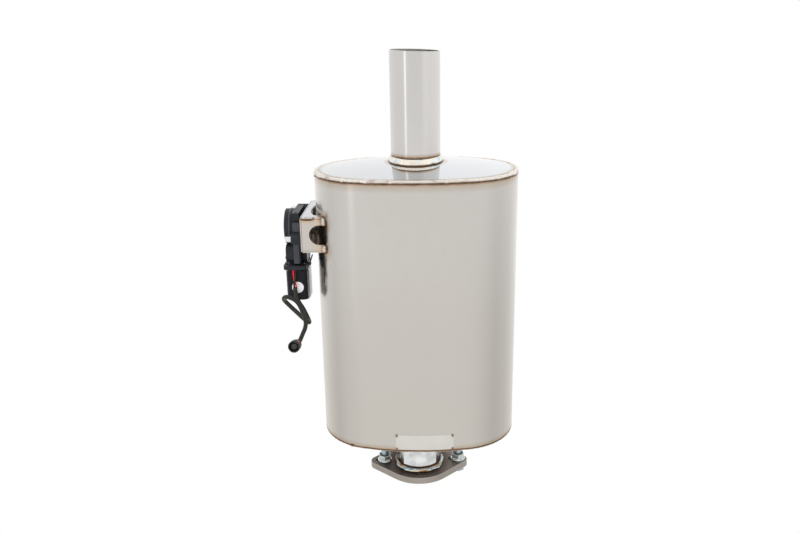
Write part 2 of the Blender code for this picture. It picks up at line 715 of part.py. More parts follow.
def radial_holes(heights):
    """Cutters for rows of round holes through a core tube, each row turned half a pitch."""
    shapes = []
    start = CORE_BORE - 2.0 * CORE_WALL
    end = CORE_RADIUS + 2.0 * CORE_WALL
    for row, height in enumerate(heights):
        for index in range(HOLES_PER_ROW):
            angle = 2.0 * math.pi * (index + 0.5 * (row % 2)) / HOLES_PER_ROW
            hole = prism(circle(HOLE_RADIUS, HOLE_SIDES), start, end)
            outward = Matrix.Rotation(angle, 4, "Z") @ Matrix.Rotation(0.5 * math.pi, 4, "Y")
            place = Matrix.Translation((0.0, 0.0, height)) @ outward
            bmesh.ops.transform(hole, matrix=place, verts=hole.verts)
            shapes.append(hole)
    return joined(shapes)


def make_core(name, wall_span, hole_span, pitch, finish):
    """Perforated tube, with as many rows of holes, spread over hole_span, as the pitch allows."""
    low, high = wall_span
    first, last = hole_span
    wall = [(CORE_BORE, low), (CORE_RADIUS, low), (CORE_RADIUS, high), (CORE_BORE, high)]
    core = add_object(name, turned(wall, SHAFT_STEPS), finish)
    steps = max(1, int((last - first) / pitch))
    heights = [first + (last - first) * row / steps for row in range(steps + 1)]
    carve(core, add_tool(name + "_holes", radial_holes(heights)))


def make_cores(finishes):
    """The gas path: perforated tubes below and above the valve, slipped over their neighbours."""
    inner = finishes["inner_steel"]
    margin = HOLE_RADIUS + HOLE_MARGIN
    spigot_low = SHAFT_HEIGHT - VALVE_HOUSING_HALF - SPIGOT_LENGTH
    spigot_high = SHAFT_HEIGHT + VALVE_HOUSING_HALF + SPIGOT_LENGTH
    low_end = BOTTOM_PLATE_INNER + GAP
    low_top = SHAFT_HEIGHT - VALVE_HOUSING_HALF - GAP
    low_first = BODY_BOTTOM + PIPE_ENTRY + margin
    holes = (low_first, spigot_low - margin)
    make_core("lower_core_tube", (low_end, low_top), holes, LOWER_HOLE_PITCH, inner)
    high_end = SHAFT_HEIGHT + VALVE_HOUSING_HALF + GAP
    high_top = TOP_PLATE_INNER + dome_rise(0.0, CORE_RADIUS + 2.0 * GAP) - GAP
    holes = (spigot_high + margin, BODY_TOP - PIPE_ENTRY - margin)
    make_core("upper_core_tube", (high_end, high_top), holes, UPPER_HOLE_PITCH, inner)


def make_baffle(name, height, finish):
    """Pressed oval plate with a turned-down rim, a hole for the core and four gas holes."""
    edge = BODY_WALL + GAP
    inside = edge + BAFFLE_THICKNESS
    under = height - BAFFLE_THICKNESS
    foot = height - BAFFLE_RIM
    section = [(edge, height), (edge, foot), (inside, foot), (inside, under)]
    baffle = add_object(name, oval_walled(section, closed=False), finish)
    span = (height - BAFFLE_RIM, height + BAFFLE_RIM)
    holes = [prism(circle(CORE_RADIUS + GAP, SHAFT_STEPS), *span)]
    for x in (-TRANSFER_HOLE_REACH, TRANSFER_HOLE_REACH):
        for y in (-TRANSFER_HOLE_SPREAD, TRANSFER_HOLE_SPREAD):
            holes.append(prism(circle(TRANSFER_HOLE_RADIUS, 2 * HOLE_SIDES, (x, y)), *span))
    carve(baffle, add_tool(name + "_holes", joined(holes)))


def make_valve_housing(finishes, axis):
    """Turned ring with a spigot at each end and a boss each side for the shaft's bushes."""
    half = VALVE_HOUSING_HALF
    end = half + SPIGOT_LENGTH
    profile = [
        (PIPE_RADIUS, -end),
        (PIPE_RADIUS, -half),
        (VALVE_HOUSING_RADIUS - HOUSING_CHAMFER, -half),
        (VALVE_HOUSING_RADIUS, HOUSING_CHAMFER - half),
        (VALVE_HOUSING_RADIUS, half - HOUSING_CHAMFER),
        (VALVE_HOUSING_RADIUS - HOUSING_CHAMFER, half),
        (PIPE_RADIUS, half),
        (PIPE_RADIUS, end),
    ]
    housing = add_object("valve_housing", turned(profile, closed=False), finishes["inner_steel"])
    housing.location.z = SHAFT_HEIGHT
    boss = prism(circle(BOSS_RADIUS, SMALL_STEPS), -BOSS_END, BOSS_END)
    fuse(housing, add_tool("boss", boss, axis))
    bore = prism(circle(VALVE_BORE_RADIUS), -2.0 * end, 2.0 * end)
    carve(housing, add_tool("valve_bore", bore, place=(0.0, 0.0, SHAFT_HEIGHT)))
    cross = prism(circle(BUSH_RADIUS + GAP, SHAFT_STEPS), -2.0 * BOSS_END, 2.0 * BOSS_END)
    carve(housing, add_tool("cross_bore", cross, axis))


def bush_shape(outer, low, high):
    inner = SHAFT_RADIUS + SHAFT_CLEARANCE
    return turned([(inner, low), (outer, low), (outer, high), (inner, high)], SHAFT_STEPS)


def make_shaft_supports(finishes, shell, axis):
    """Bushes for the shaft, the cap over its far end, and the tube that leads it out."""
    near = VALVE_BORE_RADIUS + BUSH_SETBACK
    far = BOSS_END - BUSH_SETBACK
    bronze = finishes["bronze"]
    add_object("inner_bush", bush_shape(BUSH_RADIUS, near, far), bronze, axis)
    add_object("far_bush", bush_shape(BUSH_RADIUS, -far, -near), bronze, axis)
    guide_bore = GUIDE_TUBE_RADIUS - GUIDE_TUBE_WALL
    outer_low = GUIDE_TUBE_END - OUTER_BUSH_LENGTH
    add_object("outer_bush", bush_shape(guide_bore - GAP, outer_low, GUIDE_TUBE_END), bronze, axis)
    cap = prism(circle(BOSS_RADIUS, SMALL_STEPS), -BOSS_END - GAP - BUSH_CAP_THICKNESS, -BOSS_END - GAP)
    add_object("bush_cap", cap, finishes["inner_steel"], axis)
    start = BOSS_END + GAP
    wall = [(guide_bore, start), (GUIDE_TUBE_RADIUS, start)]
    wall += [(GUIDE_TUBE_RADIUS, GUIDE_TUBE_END), (guide_bore, GUIDE_TUBE_END)]
    add_object("shaft_guide_tube", turned(wall, SHAFT_STEPS), finishes["inner_steel"], axis)
    exit_hole = prism(circle(GUIDE_TUBE_RADIUS + GAP, SHAFT_STEPS), VALVE_HOUSING_RADIUS, GUIDE_TUBE_END)
    carve(shell, add_tool("shaft_exit", exit_hole, axis))


def make_valve(finishes, turning):
    """The moving part: shaft with a milled flat, disc and its two screws, at the open rest."""
    across = (0.5 * math.pi, 0.0, 0.0)
    seat = 0.5 * DISC_THICKNESS + GAP
    shaft_end = FORK_SLOT_FLOOR - GAP
    shaft = prism(circle(SHAFT_RADIUS, SHAFT_STEPS), -BOSS_END + 2.0 * BUSH_SETBACK, shaft_end)
    shaft = add_object("valve_shaft", shaft, finishes["inner_steel"], turning)
    side = 2.0 * SHAFT_RADIUS
    flat_reach = DISC_RADIUS + GAP
    flat = prism([(-side, -side), (side, -side), (side, seat), (-side, seat)], -flat_reach, flat_reach)
    carve(shaft, add_tool("milled_flat", flat, turning))
    disc = prism(circle(DISC_RADIUS), -0.5 * DISC_THICKNESS, 0.5 * DISC_THICKNESS)
    disc = add_object("valve_disc", disc, finishes["inner_steel"], turning)
    disc.rotation_euler = across
    places = ((0.0, -DISC_SCREW_REACH), (0.0, DISC_SCREW_REACH))
    clearance = DISC_SCREW_RADIUS + GAP
    holes = joined([prism(circle(clearance, SCREW_STEPS, place), -side, side) for place in places])
    hole_tool = add_tool("disc_screw_holes", holes, turning, across)
    carve(disc, hole_tool)
    carve(shaft, hole_tool)
    head_top = seat + DISC_SCREW_HEAD_HEIGHT
    rings = [
        round_ring(DISC_SCREW_RADIUS, -DISC_SCREW_BITE, SCREW_STEPS),
        round_ring(DISC_SCREW_RADIUS, seat, SCREW_STEPS),
        round_ring(DISC_SCREW_HEAD_RADIUS, seat, SCREW_STEPS),
        round_ring(DISC_SCREW_HEAD_RADIUS, head_top - DISC_SCREW_HEAD_EDGE, SCREW_STEPS),
        round_ring(DISC_SCREW_HEAD_RADIUS - DISC_SCREW_HEAD_EDGE, head_top, SCREW_STEPS),
    ]
    screw = add_object("disc_screw_outer", skin(rings, closed=False), finishes["zinc_steel"], turning)
    screw.location = (0.0, 0.0, DISC_SCREW_REACH)
    screw.rotation_euler = across
    twin = add_copy("disc_screw_inner", screw, (0.0, 0.0, -DISC_SCREW_REACH), turning)
    twin.rotation_euler = across


def make_coupling(finishes, turning):
    """Slotted fork on the shaft's outer end, turned by the tang of the gearbox's output."""
    fork = prism(circle(COUPLING_RADIUS, SHAFT_STEPS), FORK_INNER, FORK_OUTER)
    fork = add_object("shaft_coupling", fork, finishes["inner_steel"], turning)
    half = 0.5 * TANG_WIDTH
    reach = 2.0 * COUPLING_RADIUS
    slot_low = (-reach, -half - GAP)
    slot_high = (reach, half + GAP)
    slot = prism([slot_low, (slot_high[0], slot_low[1]), slot_high, (slot_low[0], slot_high[1])],
                 FORK_SLOT_FLOOR, DRIVER_OUTER)
    carve(fork, add_tool("fork_slot", slot, turning))
    bore_end = FORK_OUTER - 0.5 * TANG_LENGTH
    bore = prism(circle(SHAFT_RADIUS + GAP, SHAFT_STEPS), FORK_INNER - TANG_LENGTH, bore_end)
    carve(fork, add_tool("fork_bore", bore, turning))
    rings = [
        round_ring(COUPLING_RADIUS, DRIVER_INNER, SHAFT_STEPS),
        round_ring(COUPLING_RADIUS, DRIVER_OUTER, SHAFT_STEPS),
        round_ring(OUTPUT_RADIUS, DRIVER_OUTER, SHAFT_STEPS),
        round_ring(OUTPUT_RADIUS, DRIVER_OUTER + OUTPUT_DEPTH, SHAFT_STEPS),
    ]
    driver = add_object("output_drive", skin(rings, closed=False), finishes["zinc_steel"], turning)
    tang_reach = COUPLING_RADIUS - TANG_INSET
    outline = [(-tang_reach, -half), (tang_reach, -half), (tang_reach, half), (-tang_reach, half)]
    tang = prism(outline, DRIVER_INNER - TANG_LENGTH, DRIVER_INNER + 0.5 * DRIVER_THICKNESS)
    fuse(driver, add_tool("tang", tang, turning))


def flange_bar(side):
    """Section of the bracket's upper (side 1) or lower (-1) flange: a flat bar with its two
    outer corners round, as (height, along) points."""
    half = BRACKET_HALF_WIDTH
    outer = BRACKET_HALF_HEIGHT - BRACKET_CORNER
    inner = BRACKET_HALF_HEIGHT - BRACKET_WALL
    quarter = 0.5 * math.pi
    bar = [(inner, -half)]
    bar += arc((outer, BRACKET_CORNER - half), BRACKET_CORNER, -quarter, 0.0, CORNER_STEPS)
    bar += arc((outer, half - BRACKET_CORNER), BRACKET_CORNER, 0.0, quarter, CORNER_STEPS)
    bar.append((inner, half))
    return [(side * up, along) for up, along in bar]


def make_bracket(finishes, axis):
    """Box welded from five plates and open to the body: a face with folded edges, two flanges
    that leave a slot of air along the body, and two cheeks notched where heat must escape."""
    steel = finishes["bracket_stainless"]
    fold = BRACKET_FOLD
    rings = []
    for u, v in arc((0.0, 0.0), fold, 0.5 * math.pi, 0.0, CORNER_STEPS):
        side = BRACKET_HALF_WIDTH - fold + u
        up = BRACKET_HALF_HEIGHT - fold + u
        corner = max(BRACKET_CORNER - fold + u, GAP)
        rings.append(raised(rounded_box((-up, -side), (up, side), corner), BRACKET_FACE - fold + v))
    rings.append([(x, y, BRACKET_INNER) for x, y, z in rings[-1]])
    face = add_object("bracket_face", skin(rings, closed=False), steel, axis)
    pilot = prism(circle(PILOT_RADIUS + GAP, SHAFT_STEPS), DRIVER_OUTER, GEARBOX_INNER)
    carve(face, add_tool("pilot_hole", pilot, axis))
    low = SHAFT_HEIGHT - 2.0 * BRACKET_HALF_HEIGHT
    high = SHAFT_HEIGHT + 2.0 * BRACKET_HALF_HEIGHT
    body_line = add_tool("body_line", prism(oval(-GAP), low, high))
    radius = BODY_END_RADIUS + BRACKET_BODY_GAP
    open_angle = math.asin(BRACKET_GAP_HALF_WIDTH / radius)
    centre = (-BODY_END_CENTRE, 0.0)
    edge = arc(centre, radius, math.pi - open_angle, math.pi + open_angle, GAP_ARC_STEPS)
    edge += [(-BRACKET_ROOT, -BRACKET_GAP_HALF_WIDTH), (-BRACKET_ROOT, BRACKET_GAP_HALF_WIDTH)]
    heat_gap = add_tool("heat_gap", prism(edge, low, high))
    seat = BRACKET_INNER - GAP
    for name, side in (("bracket_upper_flange", 1.0), ("bracket_lower_flange", -1.0)):
        flange = add_object(name, prism(flange_bar(side), BRACKET_ROOT, seat), steel, axis)
        carve(flange, body_line)
        carve(flange, heat_gap)
    middle = BRACKET_NOTCH_END - BRACKET_NOTCH_RADIUS
    notch = prism(capsule((0.0, middle), (0.0, BRACKET_ROOT), BRACKET_NOTCH_RADIUS),
                  -2.0 * BRACKET_HALF_WIDTH, 2.0 * BRACKET_HALF_WIDTH)
    side_notch = add_tool("side_notch", notch, axis, (0.5 * math.pi, 0.0, 0.0))
    up = BRACKET_HALF_HEIGHT - BRACKET_WALL - GAP
    inner = BRACKET_HALF_WIDTH - BRACKET_WALL
    for name, side in (("bracket_front_cheek", -1.0), ("bracket_back_cheek", 1.0)):
        ends = sorted((side * inner, side * BRACKET_HALF_WIDTH))
        outline = [(-up, ends[0]), (up, ends[0]), (up, ends[1]), (-up, ends[1])]
        cheek = add_object(name, prism(outline, BRACKET_ROOT, seat), steel, axis)
        carve(cheek, body_line)
        carve(cheek, side_notch)
    return face


def make_gearbox(finishes, bracket, axis):
    """Moulded gear case on three stand-off ears, with the motor's neck below the bracket."""
    corners = ((-GEARBOX_BOTTOM, -GEARBOX_HALF_WIDTH), (GEARBOX_TOP, GEARBOX_HALF_WIDTH))
    case = prism(rounded_box(*corners, GEARBOX_CORNER), GEARBOX_INNER, GEARBOX_OUTER)
    case = add_object("gear_housing", case, finishes["black_plastic"], axis)
    seat = BRACKET_FACE + GAP
    ears = []
    for up, along in EAR_PLACES:
        root = (EAR_ROOT_SHARE * up, EAR_ROOT_SHARE * along)
        ears.append(prism(capsule(root, (up, along), EAR_RADIUS), seat, GEARBOX_OUTER))
    for number, ear in enumerate(ears):
        fuse(case, add_tool("ear_%d" % number, ear, axis))
    pilot = prism(circle(PILOT_RADIUS, SHAFT_STEPS), DRIVER_OUTER + 2.0 * GAP, GEARBOX_INNER + 2.0 * GAP)
    fuse(case, add_tool("pilot", pilot, axis))
    neck_top = -BRACKET_HALF_HEIGHT - MOTOR_NECK_CLEARANCE
    corners = ((-GEARBOX_BOTTOM, MOTOR_NECK_FRONT), (neck_top, MOTOR_NECK_BACK))
    neck = prism(rounded_box(*corners, 2.0 * GAP), MOTOR_NECK_INNER, GEARBOX_INNER + 2.0 * GAP)
    fuse(case, add_tool("motor_neck", neck, axis))
    ledge_low = (GEARBOX_TOP - GEARBOX_LEDGE_DROP, -2.0 * GEARBOX_HALF_WIDTH)
    ledge_high = (2.0 * GEARBOX_TOP, GEARBOX_LEDGE_DEPTH - GEARBOX_HALF_WIDTH)
    outline = [ledge_low, (ledge_high[0], ledge_low[1]), ledge_high, (ledge_low[0], ledge_high[1])]
    carve(case, add_tool("front_ledge", prism(outline, BRACKET_FACE, COVER_INNER), axis))
    bore_end = DRIVER_OUTER + OUTPUT_DEPTH + GAP
    bore = prism(circle(OUTPUT_RADIUS + SHAFT_CLEARANCE, SHAFT_STEPS), DRIVER_OUTER, bore_end)
    carve(case, add_tool("output_bore", bore, axis))
    screw_hole = CAP_SCREW_RADIUS + SCREW_HOLE_CLEARANCE
    outlines = [circle(screw_hole, SMALL_STEPS, place) for place in EAR_PLACES]
    shapes = [prism(outline, BRACKET_ROOT, COVER_OUTER) for outline in outlines]
    holes = add_tool("ear_holes", joined(shapes), axis)
    carve(case, holes)
    carve(bracket, holes)
    middle = 0.5 * (GEARBOX_INNER + GEARBOX_OUTER)
    high = SHAFT_HEIGHT + GEARBOX_TOP
    outline = circle(TIE_HOLE_RADIUS, TIE_HOLE_SIDES, (-middle, TIE_HOLE_PLACE))
    carve(case, add_tool("tie_hole", prism(outline, high - TIE_HOLE_DEPTH, high + GAP)))
    return case


def make_gear_cover(finishes, case, axis):
    """Round cover over the output gear, running down into a lobe over the motor's worm."""
    cover = prism(circle(COVER_RADIUS), COVER_INNER, COVER_OUTER)
    cover = add_object("gear_cover", cover, finishes["black_plastic"], axis)
    half = COVER_LOBE_HALF_WIDTH
    outline = rounded_box((COVER_LOBE_BOTTOM, -half), (COVER_LOBE_TOP, half), COVER_LOBE_CORNER)
    lobe = prism(outline, COVER_INNER, COVER_OUTER - COVER_LOBE_STEP)
    fuse(cover, add_tool("lobe", lobe, axis))
    inner = COVER_GROOVE_INNER
    outer = COVER_GROOVE_OUTER
    floor = COVER_OUTER - COVER_GROOVE_DEPTH
    top = COVER_OUTER + COVER_GROOVE_DEPTH
    groove = turned([(inner, floor), (outer, floor), (outer, top), (inner, top)])
    carve(cover, add_tool("cover_groove", groove, axis))
    deep = GEARBOX_OUTER - COVER_SCREW_BITE
    clearance = COVER_SCREW_RADIUS + SCREW_HOLE_CLEARANCE
    outlines = [circle(clearance, SCREW_STEPS, place) for place in COVER_SCREW_PLACES]
    shapes = [prism(outline, deep - GAP, 2.0 * COVER_OUTER) for outline in outlines]
    holes = add_tool("cover_screw_holes", joined(shapes), axis)
    carve(cover, holes)
    carve(case, holes)
    zinc = finishes["zinc_steel"]
    crown = COVER_SCREW_HEAD_RADIUS - COVER_SCREW_HEAD_EDGE
    for number, place in enumerate(COVER_SCREW_PLACES, 1):
        seat = COVER_OUTER + GAP - (0.0 if number == 1 else COVER_LOBE_STEP)
        rings = [
            round_ring(COVER_SCREW_RADIUS, deep, SCREW_STEPS),
            round_ring(COVER_SCREW_RADIUS, seat, SCREW_STEPS),
            round_ring(COVER_SCREW_HEAD_RADIUS, seat, SCREW_STEPS),
            round_ring(crown, seat + COVER_SCREW_HEAD_HEIGHT, SCREW_STEPS),
        ]
        screw = add_object("cover_screw_%d" % number, skin(rings, closed=False), zinc, axis)
        screw.location = (*place, 0.0)


def make_ear_screws(finishes, axis):
    """Socket-head screws that hold the gear case to the bracket."""
    seat = GEARBOX_OUTER + GAP
    top = seat + CAP_SCREW_HEAD_LENGTH
    edge = CAP_SCREW_HEAD_EDGE
    rings = [
        round_ring(CAP_SCREW_RADIUS, BRACKET_INNER - CAP_SCREW_THROUGH, SCREW_STEPS),
        round_ring(CAP_SCREW_RADIUS, seat, SCREW_STEPS),
        round_ring(CAP_SCREW_HEAD_RADIUS, seat, SCREW_STEPS),
        round_ring(CAP_SCREW_HEAD_RADIUS, top - edge, SCREW_STEPS),
        round_ring(CAP_SCREW_HEAD_RADIUS - edge, top, SCREW_STEPS),
        hexagonal(CAP_SCREW_SOCKET_FLATS, top, SCREW_STEPS),
        hexagonal(CAP_SCREW_SOCKET_FLATS, top - CAP_SCREW_SOCKET_DEPTH, SCREW_STEPS),
    ]
    first = add_object("ear_screw_1", skin(rings, closed=False), finishes["zinc_steel"], axis)
    first.location = (*EAR_PLACES[0], 0.0)
    for number, place in enumerate(EAR_PLACES[1:], 2):
        add_copy("ear_screw_%d" % number, first, (*place, 0.0), axis)


def plan_box(reach, shift, width, depth, corner):
    """Rounded rectangle in plan, its middle at -reach along X and shift along Y."""
    low = (-reach - 0.5 * width, shift - 0.5 * depth)
    high = (-reach + 0.5 * width, shift + 0.5 * depth)
    return rounded_box(low, high, corner)


def make_motor(finishes):
    """Flat-sided motor can hung from its flange plate by two screws."""
    outline = plan_box(MOTOR_FLANGE_REACH, MOTOR_SHIFT, MOTOR_FLANGE_WIDTH, MOTOR_FLANGE_DEPTH,
                       MOTOR_FLANGE_CORNER)
    plate = prism(outline, MOTOR_FLANGE_UNDER, MOTOR_FLANGE_TOP)
    plate = add_object("motor_flange", plate, finishes["black_plastic"])
    floor = MOTOR_TOP - MOTOR_HEIGHT
    outline = plan_box(MOTOR_REACH, MOTOR_SHIFT, MOTOR_WIDTH, MOTOR_DEPTH, MOTOR_CORNER)
    can = add_object("motor_can", prism(outline, floor, MOTOR_TOP), finishes["motor_steel"])
    round_off(can, MOTOR_EDGE)
    middle = (-MOTOR_REACH, MOTOR_SHIFT)
    outline = circle(MOTOR_COLLAR_RADIUS, SMALL_STEPS, middle)
    fuse(can, add_tool("motor_collar", prism(outline, MOTOR_TOP - GAP, MOTOR_FLANGE_UNDER - GAP)))
    cup = prism(circle(MOTOR_CUP_RADIUS, SMALL_STEPS, middle), floor - MOTOR_CUP_HEIGHT, floor + GAP)
    fuse(can, add_tool("bearing_cup", cup))
    places = []
    for side in (-0.5, 0.5):
        places.append((side * MOTOR_SCREW_SPREAD - MOTOR_SCREW_REACH, MOTOR_SCREW_FRONT))
    tip = MOTOR_FLANGE_UNDER + MOTOR_SCREW_TIP
    hole = MOTOR_SCREW_RADIUS + SCREW_HOLE_CLEARANCE
    outlines = [circle(hole, SCREW_STEPS, place) for place in places]
    shapes = [prism(outline, tip - GAP, MOTOR_FLANGE_TOP + GAP) for outline in outlines]
    carve(plate, add_tool("motor_screw_holes", joined(shapes)))
    seat = MOTOR_FLANGE_TOP + GAP
    crown = MOTOR_SCREW_HEAD_RADIUS - MOTOR_SCREW_HEAD_EDGE
    rings = [
        round_ring(MOTOR_SCREW_RADIUS, tip, SCREW_STEPS),
        round_ring(MOTOR_SCREW_RADIUS, seat, SCREW_STEPS),
        round_ring(MOTOR_SCREW_HEAD_RADIUS, seat, SCREW_STEPS),
        round_ring(crown, seat + MOTOR_SCREW_HEAD_HEIGHT, SCREW_STEPS),
    ]
    screw = add_object("motor_screw_left", skin(rings, closed=False), finishes["zinc_steel"])
    screw.location = (*places[0], 0.0)
    add_copy("motor_screw_right", screw, (*places[1], 0.0))
    return plate


def make_cable_tie(finishes, plate):
    """Nylon tie through a slot in the flange plate's end, its tail left standing."""
    edge = -MOTOR_FLANGE_REACH + 0.5 * MOTOR_FLANGE_WIDTH
    low = MOTOR_FLANGE_UNDER - GAP
    high = MOTOR_FLANGE_TOP + GAP
    inner_low = (edge - TIE_BITE, low)
    inner_high = (edge + GAP, high)
    band = TIE_BAND_THICKNESS
    outer_low = (inner_low[0] - band, low - band)
    outer_high = (inner_high[0] + band, high + band)
    half = 0.5 * TIE_BAND_WIDTH
    across = (0.5 * math.pi, 0.0, 0.0)
    place = (0.0, TIE_PLACE, 0.0)
    rings = [raised(rounded_box(outer_low, outer_high, 3.0 * GAP, 2), -half)]
    rings.append(raised(rounded_box(outer_low, outer_high, 3.0 * GAP, 2), half))
    rings.append(raised(rounded_box(inner_low, inner_high, GAP, 2), half))
    rings.append(raised(rounded_box(inner_low, inner_high, GAP, 2), -half))
    tie = add_object("cable_tie", skin(rings, closed=True), finishes["tie_nylon"])
    tie.rotation_euler = across
    tie.location = place
    head_low = (outer_high[0] - 0.5 * band, high - TIE_HEAD)
    head = prism(rounded_box(head_low, (outer_high[0] + TIE_HEAD, high + 0.5 * band), 2.0 * GAP, 2),
                 -half - GAP, half + GAP)
    fuse(tie, add_tool("tie_head", head, None, across, place))
    tail = prism(circle(TIE_TAIL_RADIUS, SCREW_STEPS), 0.0, TIE_TAIL_LENGTH)
    foot = (outer_high[0] + 0.5 * TIE_HEAD, TIE_PLACE, high - 0.3 * TIE_HEAD)
    fuse(tie, add_tool("tie_tail", tail, None, (0.0, math.radians(TIE_TAIL_LEAN), 0.0), foot))
    slot_low = (inner_low[0] - band - GAP, TIE_PLACE - half - GAP)
    slot_high = (inner_low[0] + GAP, TIE_PLACE + half + GAP)
    outline = [slot_low, (slot_high[0], slot_low[1]), slot_high, (slot_low[0], slot_high[1])]
    slot = prism(outline, MOTOR_FLANGE_UNDER - GAP, MOTOR_FLANGE_TOP + GAP)
    carve(plate, add_tool("tie_slot", slot))


def smooth_route(route):
    """Points in metres, read evenly from the smooth curve through the route's own points."""
    own = [Vector(point) / 1000.0 for point in route]
    held = [2.0 * own[0] - own[1]] + own + [2.0 * own[-1] - own[-2]]
    fine = []
    for before, start, end, after in zip(held, held[1:], held[2:], held[3:]):
        for index in range(ROUTE_STEPS):
            t = index / ROUTE_STEPS
            bend = 2.0 * before - 5.0 * start + 4.0 * end - after
            twist = 3.0 * (start - end) + after - before
            fine.append(0.5 * (2.0 * start + (end - before) * t + bend * t * t + twist * t * t * t))
    return fine + [own[-1]]


def spread_evenly(points, spacing):
    """The same line with its points at an even spacing."""
    lengths = [0.0]
    for first, second in zip(points, points[1:]):
        lengths.append(lengths[-1] + (second - first).length)
    count = max(2, round(lengths[-1] / spacing))
    even = []
    segment = 0
    for index in range(count + 1):
        target = lengths[-1] * index / count
        while segment < len(points) - 2 and lengths[segment + 1] < target:
            segment += 1
        share = (target - lengths[segment]) / (lengths[segment + 1] - lengths[segment])
        even.append(points[segment].lerp(points[segment + 1], share))
    return even


def add_cord(name, route, radius, finish):
    """A cord as a plain tube along its route."""
    points = spread_evenly(smooth_route(route), CORD_SPACING * radius)
    line = bpy.data.curves.new(name, "CURVE")
    line.dimensions = "3D"
    line.bevel_depth = radius
    line.bevel_resolution = 2
    line.use_fill_caps = True
    run = line.splines.new("POLY")
    run.points.add(len(points) - 1)
    for target, point in zip(run.points, points):
        target.co = (*point, 1.0)
    line.materials.append(finish)
    item = bpy.data.objects.new(name, line)
    bpy.context.collection.objects.link(item)
    return points


def make_lead(finishes):
    """Two wires from the motor, their sheath hanging in a loop, and the plug on its end."""
    add_cord("red_wire", RED_WIRE_ROUTE, WIRE_RADIUS, finishes["red_insulation"])
    add_cord("black_wire", BLACK_WIRE_ROUTE, WIRE_RADIUS, finishes["black_insulation"])
    run = add_cord("cable_sheath", SHEATH_ROUTE, SHEATH_RADIUS, finishes["sheath_rubber"])
    collar_start = BOOT_LENGTH
    mouth_start = collar_start + COLLAR_LENGTH
    end = mouth_start + MOUTH_LENGTH
    ribbed = []
    for index, (x, y) in enumerate(circle(1.0, SMALL_STEPS)):
        reach = MOUTH_RADIUS - (CONNECTOR_RIB if index % 3 == 0 else 0.0)
        ribbed.append((x * reach, y * reach))
    rings = [
        round_ring(0.85 * BOOT_RADIUS, 0.0),
        round_ring(BOOT_RADIUS, collar_start),
        round_ring(COLLAR_RADIUS, collar_start + 2.0 * GAP),
        round_ring(COLLAR_RADIUS, mouth_start),
        raised(ribbed, mouth_start + 2.0 * GAP),
        raised(ribbed, end - 3.0 * CONNECTOR_RIB),
        round_ring(MOUTH_RADIUS, end - 2.0 * CONNECTOR_RIB),
        round_ring(MOUTH_RADIUS, end),
        round_ring(MOUTH_RADIUS - MOUTH_WALL, end),
        round_ring(MOUTH_RADIUS - MOUTH_WALL, end - MOUTH_RECESS),
    ]
    plug = add_object("cable_connector", skin(rings, closed=False), finishes["sheath_rubber"])
    axis = (run[-1] - run[-2]).normalized()
    plug.rotation_euler = axis.to_track_quat("Z", "Y").to_euler()
    plug.location = run[-1] + axis * CONNECTOR_GAP


def main():
    clear_scene()
    finishes = make_materials()
    flange_frame = add_empty("flange_frame", (0.0, 0.0, 0.0), (0.0, 0.0, math.radians(FLANGE_TURN)))
    outward = (0.0, -0.5 * math.pi, 0.0)
    axis = add_empty("valve_axis", (0.0, 0.0, SHAFT_HEIGHT), outward)
    turning = add_empty("valve_turn", (0.0, 0.0, SHAFT_HEIGHT), outward)
    make_flange(finishes, flange_frame)
    make_flange_bolts(finishes, flange_frame)
    make_inlet_neck(finishes)
    make_outlet_pipe(finishes)
    shell = make_body(finishes)
    make_label(finishes)
    make_cores(finishes)
    make_baffle("lower_baffle", LOWER_BAFFLE_HEIGHT, finishes["inner_steel"])
    make_baffle("upper_baffle", UPPER_BAFFLE_HEIGHT, finishes["inner_steel"])
    make_valve_housing(finishes, axis)
    make_shaft_supports(finishes, shell, axis)
    make_valve(finishes, turning)
    make_coupling(finishes, turning)
    bracket = make_bracket(finishes, axis)
    case = make_gearbox(finishes, bracket, axis)
    make_gear_cover(finishes, case, axis)
    make_ear_screws(finishes, axis)
    plate = make_motor(finishes)
    make_cable_tie(finishes, plate)
    make_lead(finishes)


main()
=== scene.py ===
"""A valved oval muffler on a white ground.

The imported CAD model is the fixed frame. This script gives every CAD node a finish, replaces the
ones that show most with finer surfaces, adds welds, stickers and the motor's lead, and sets up
the light and the camera. Everything is in metres, in the CAD model's own frame: +Z runs up the
pipes, +X points away from the gearbox, and -Y is the side that faces the camera.
"""
# %% [markdown]
# ## Load the frame
# Its box is kept, and the ground is set just under it.

import json
import math

import bmesh
import bpy
import numpy as np
from mathutils import Matrix, Vector

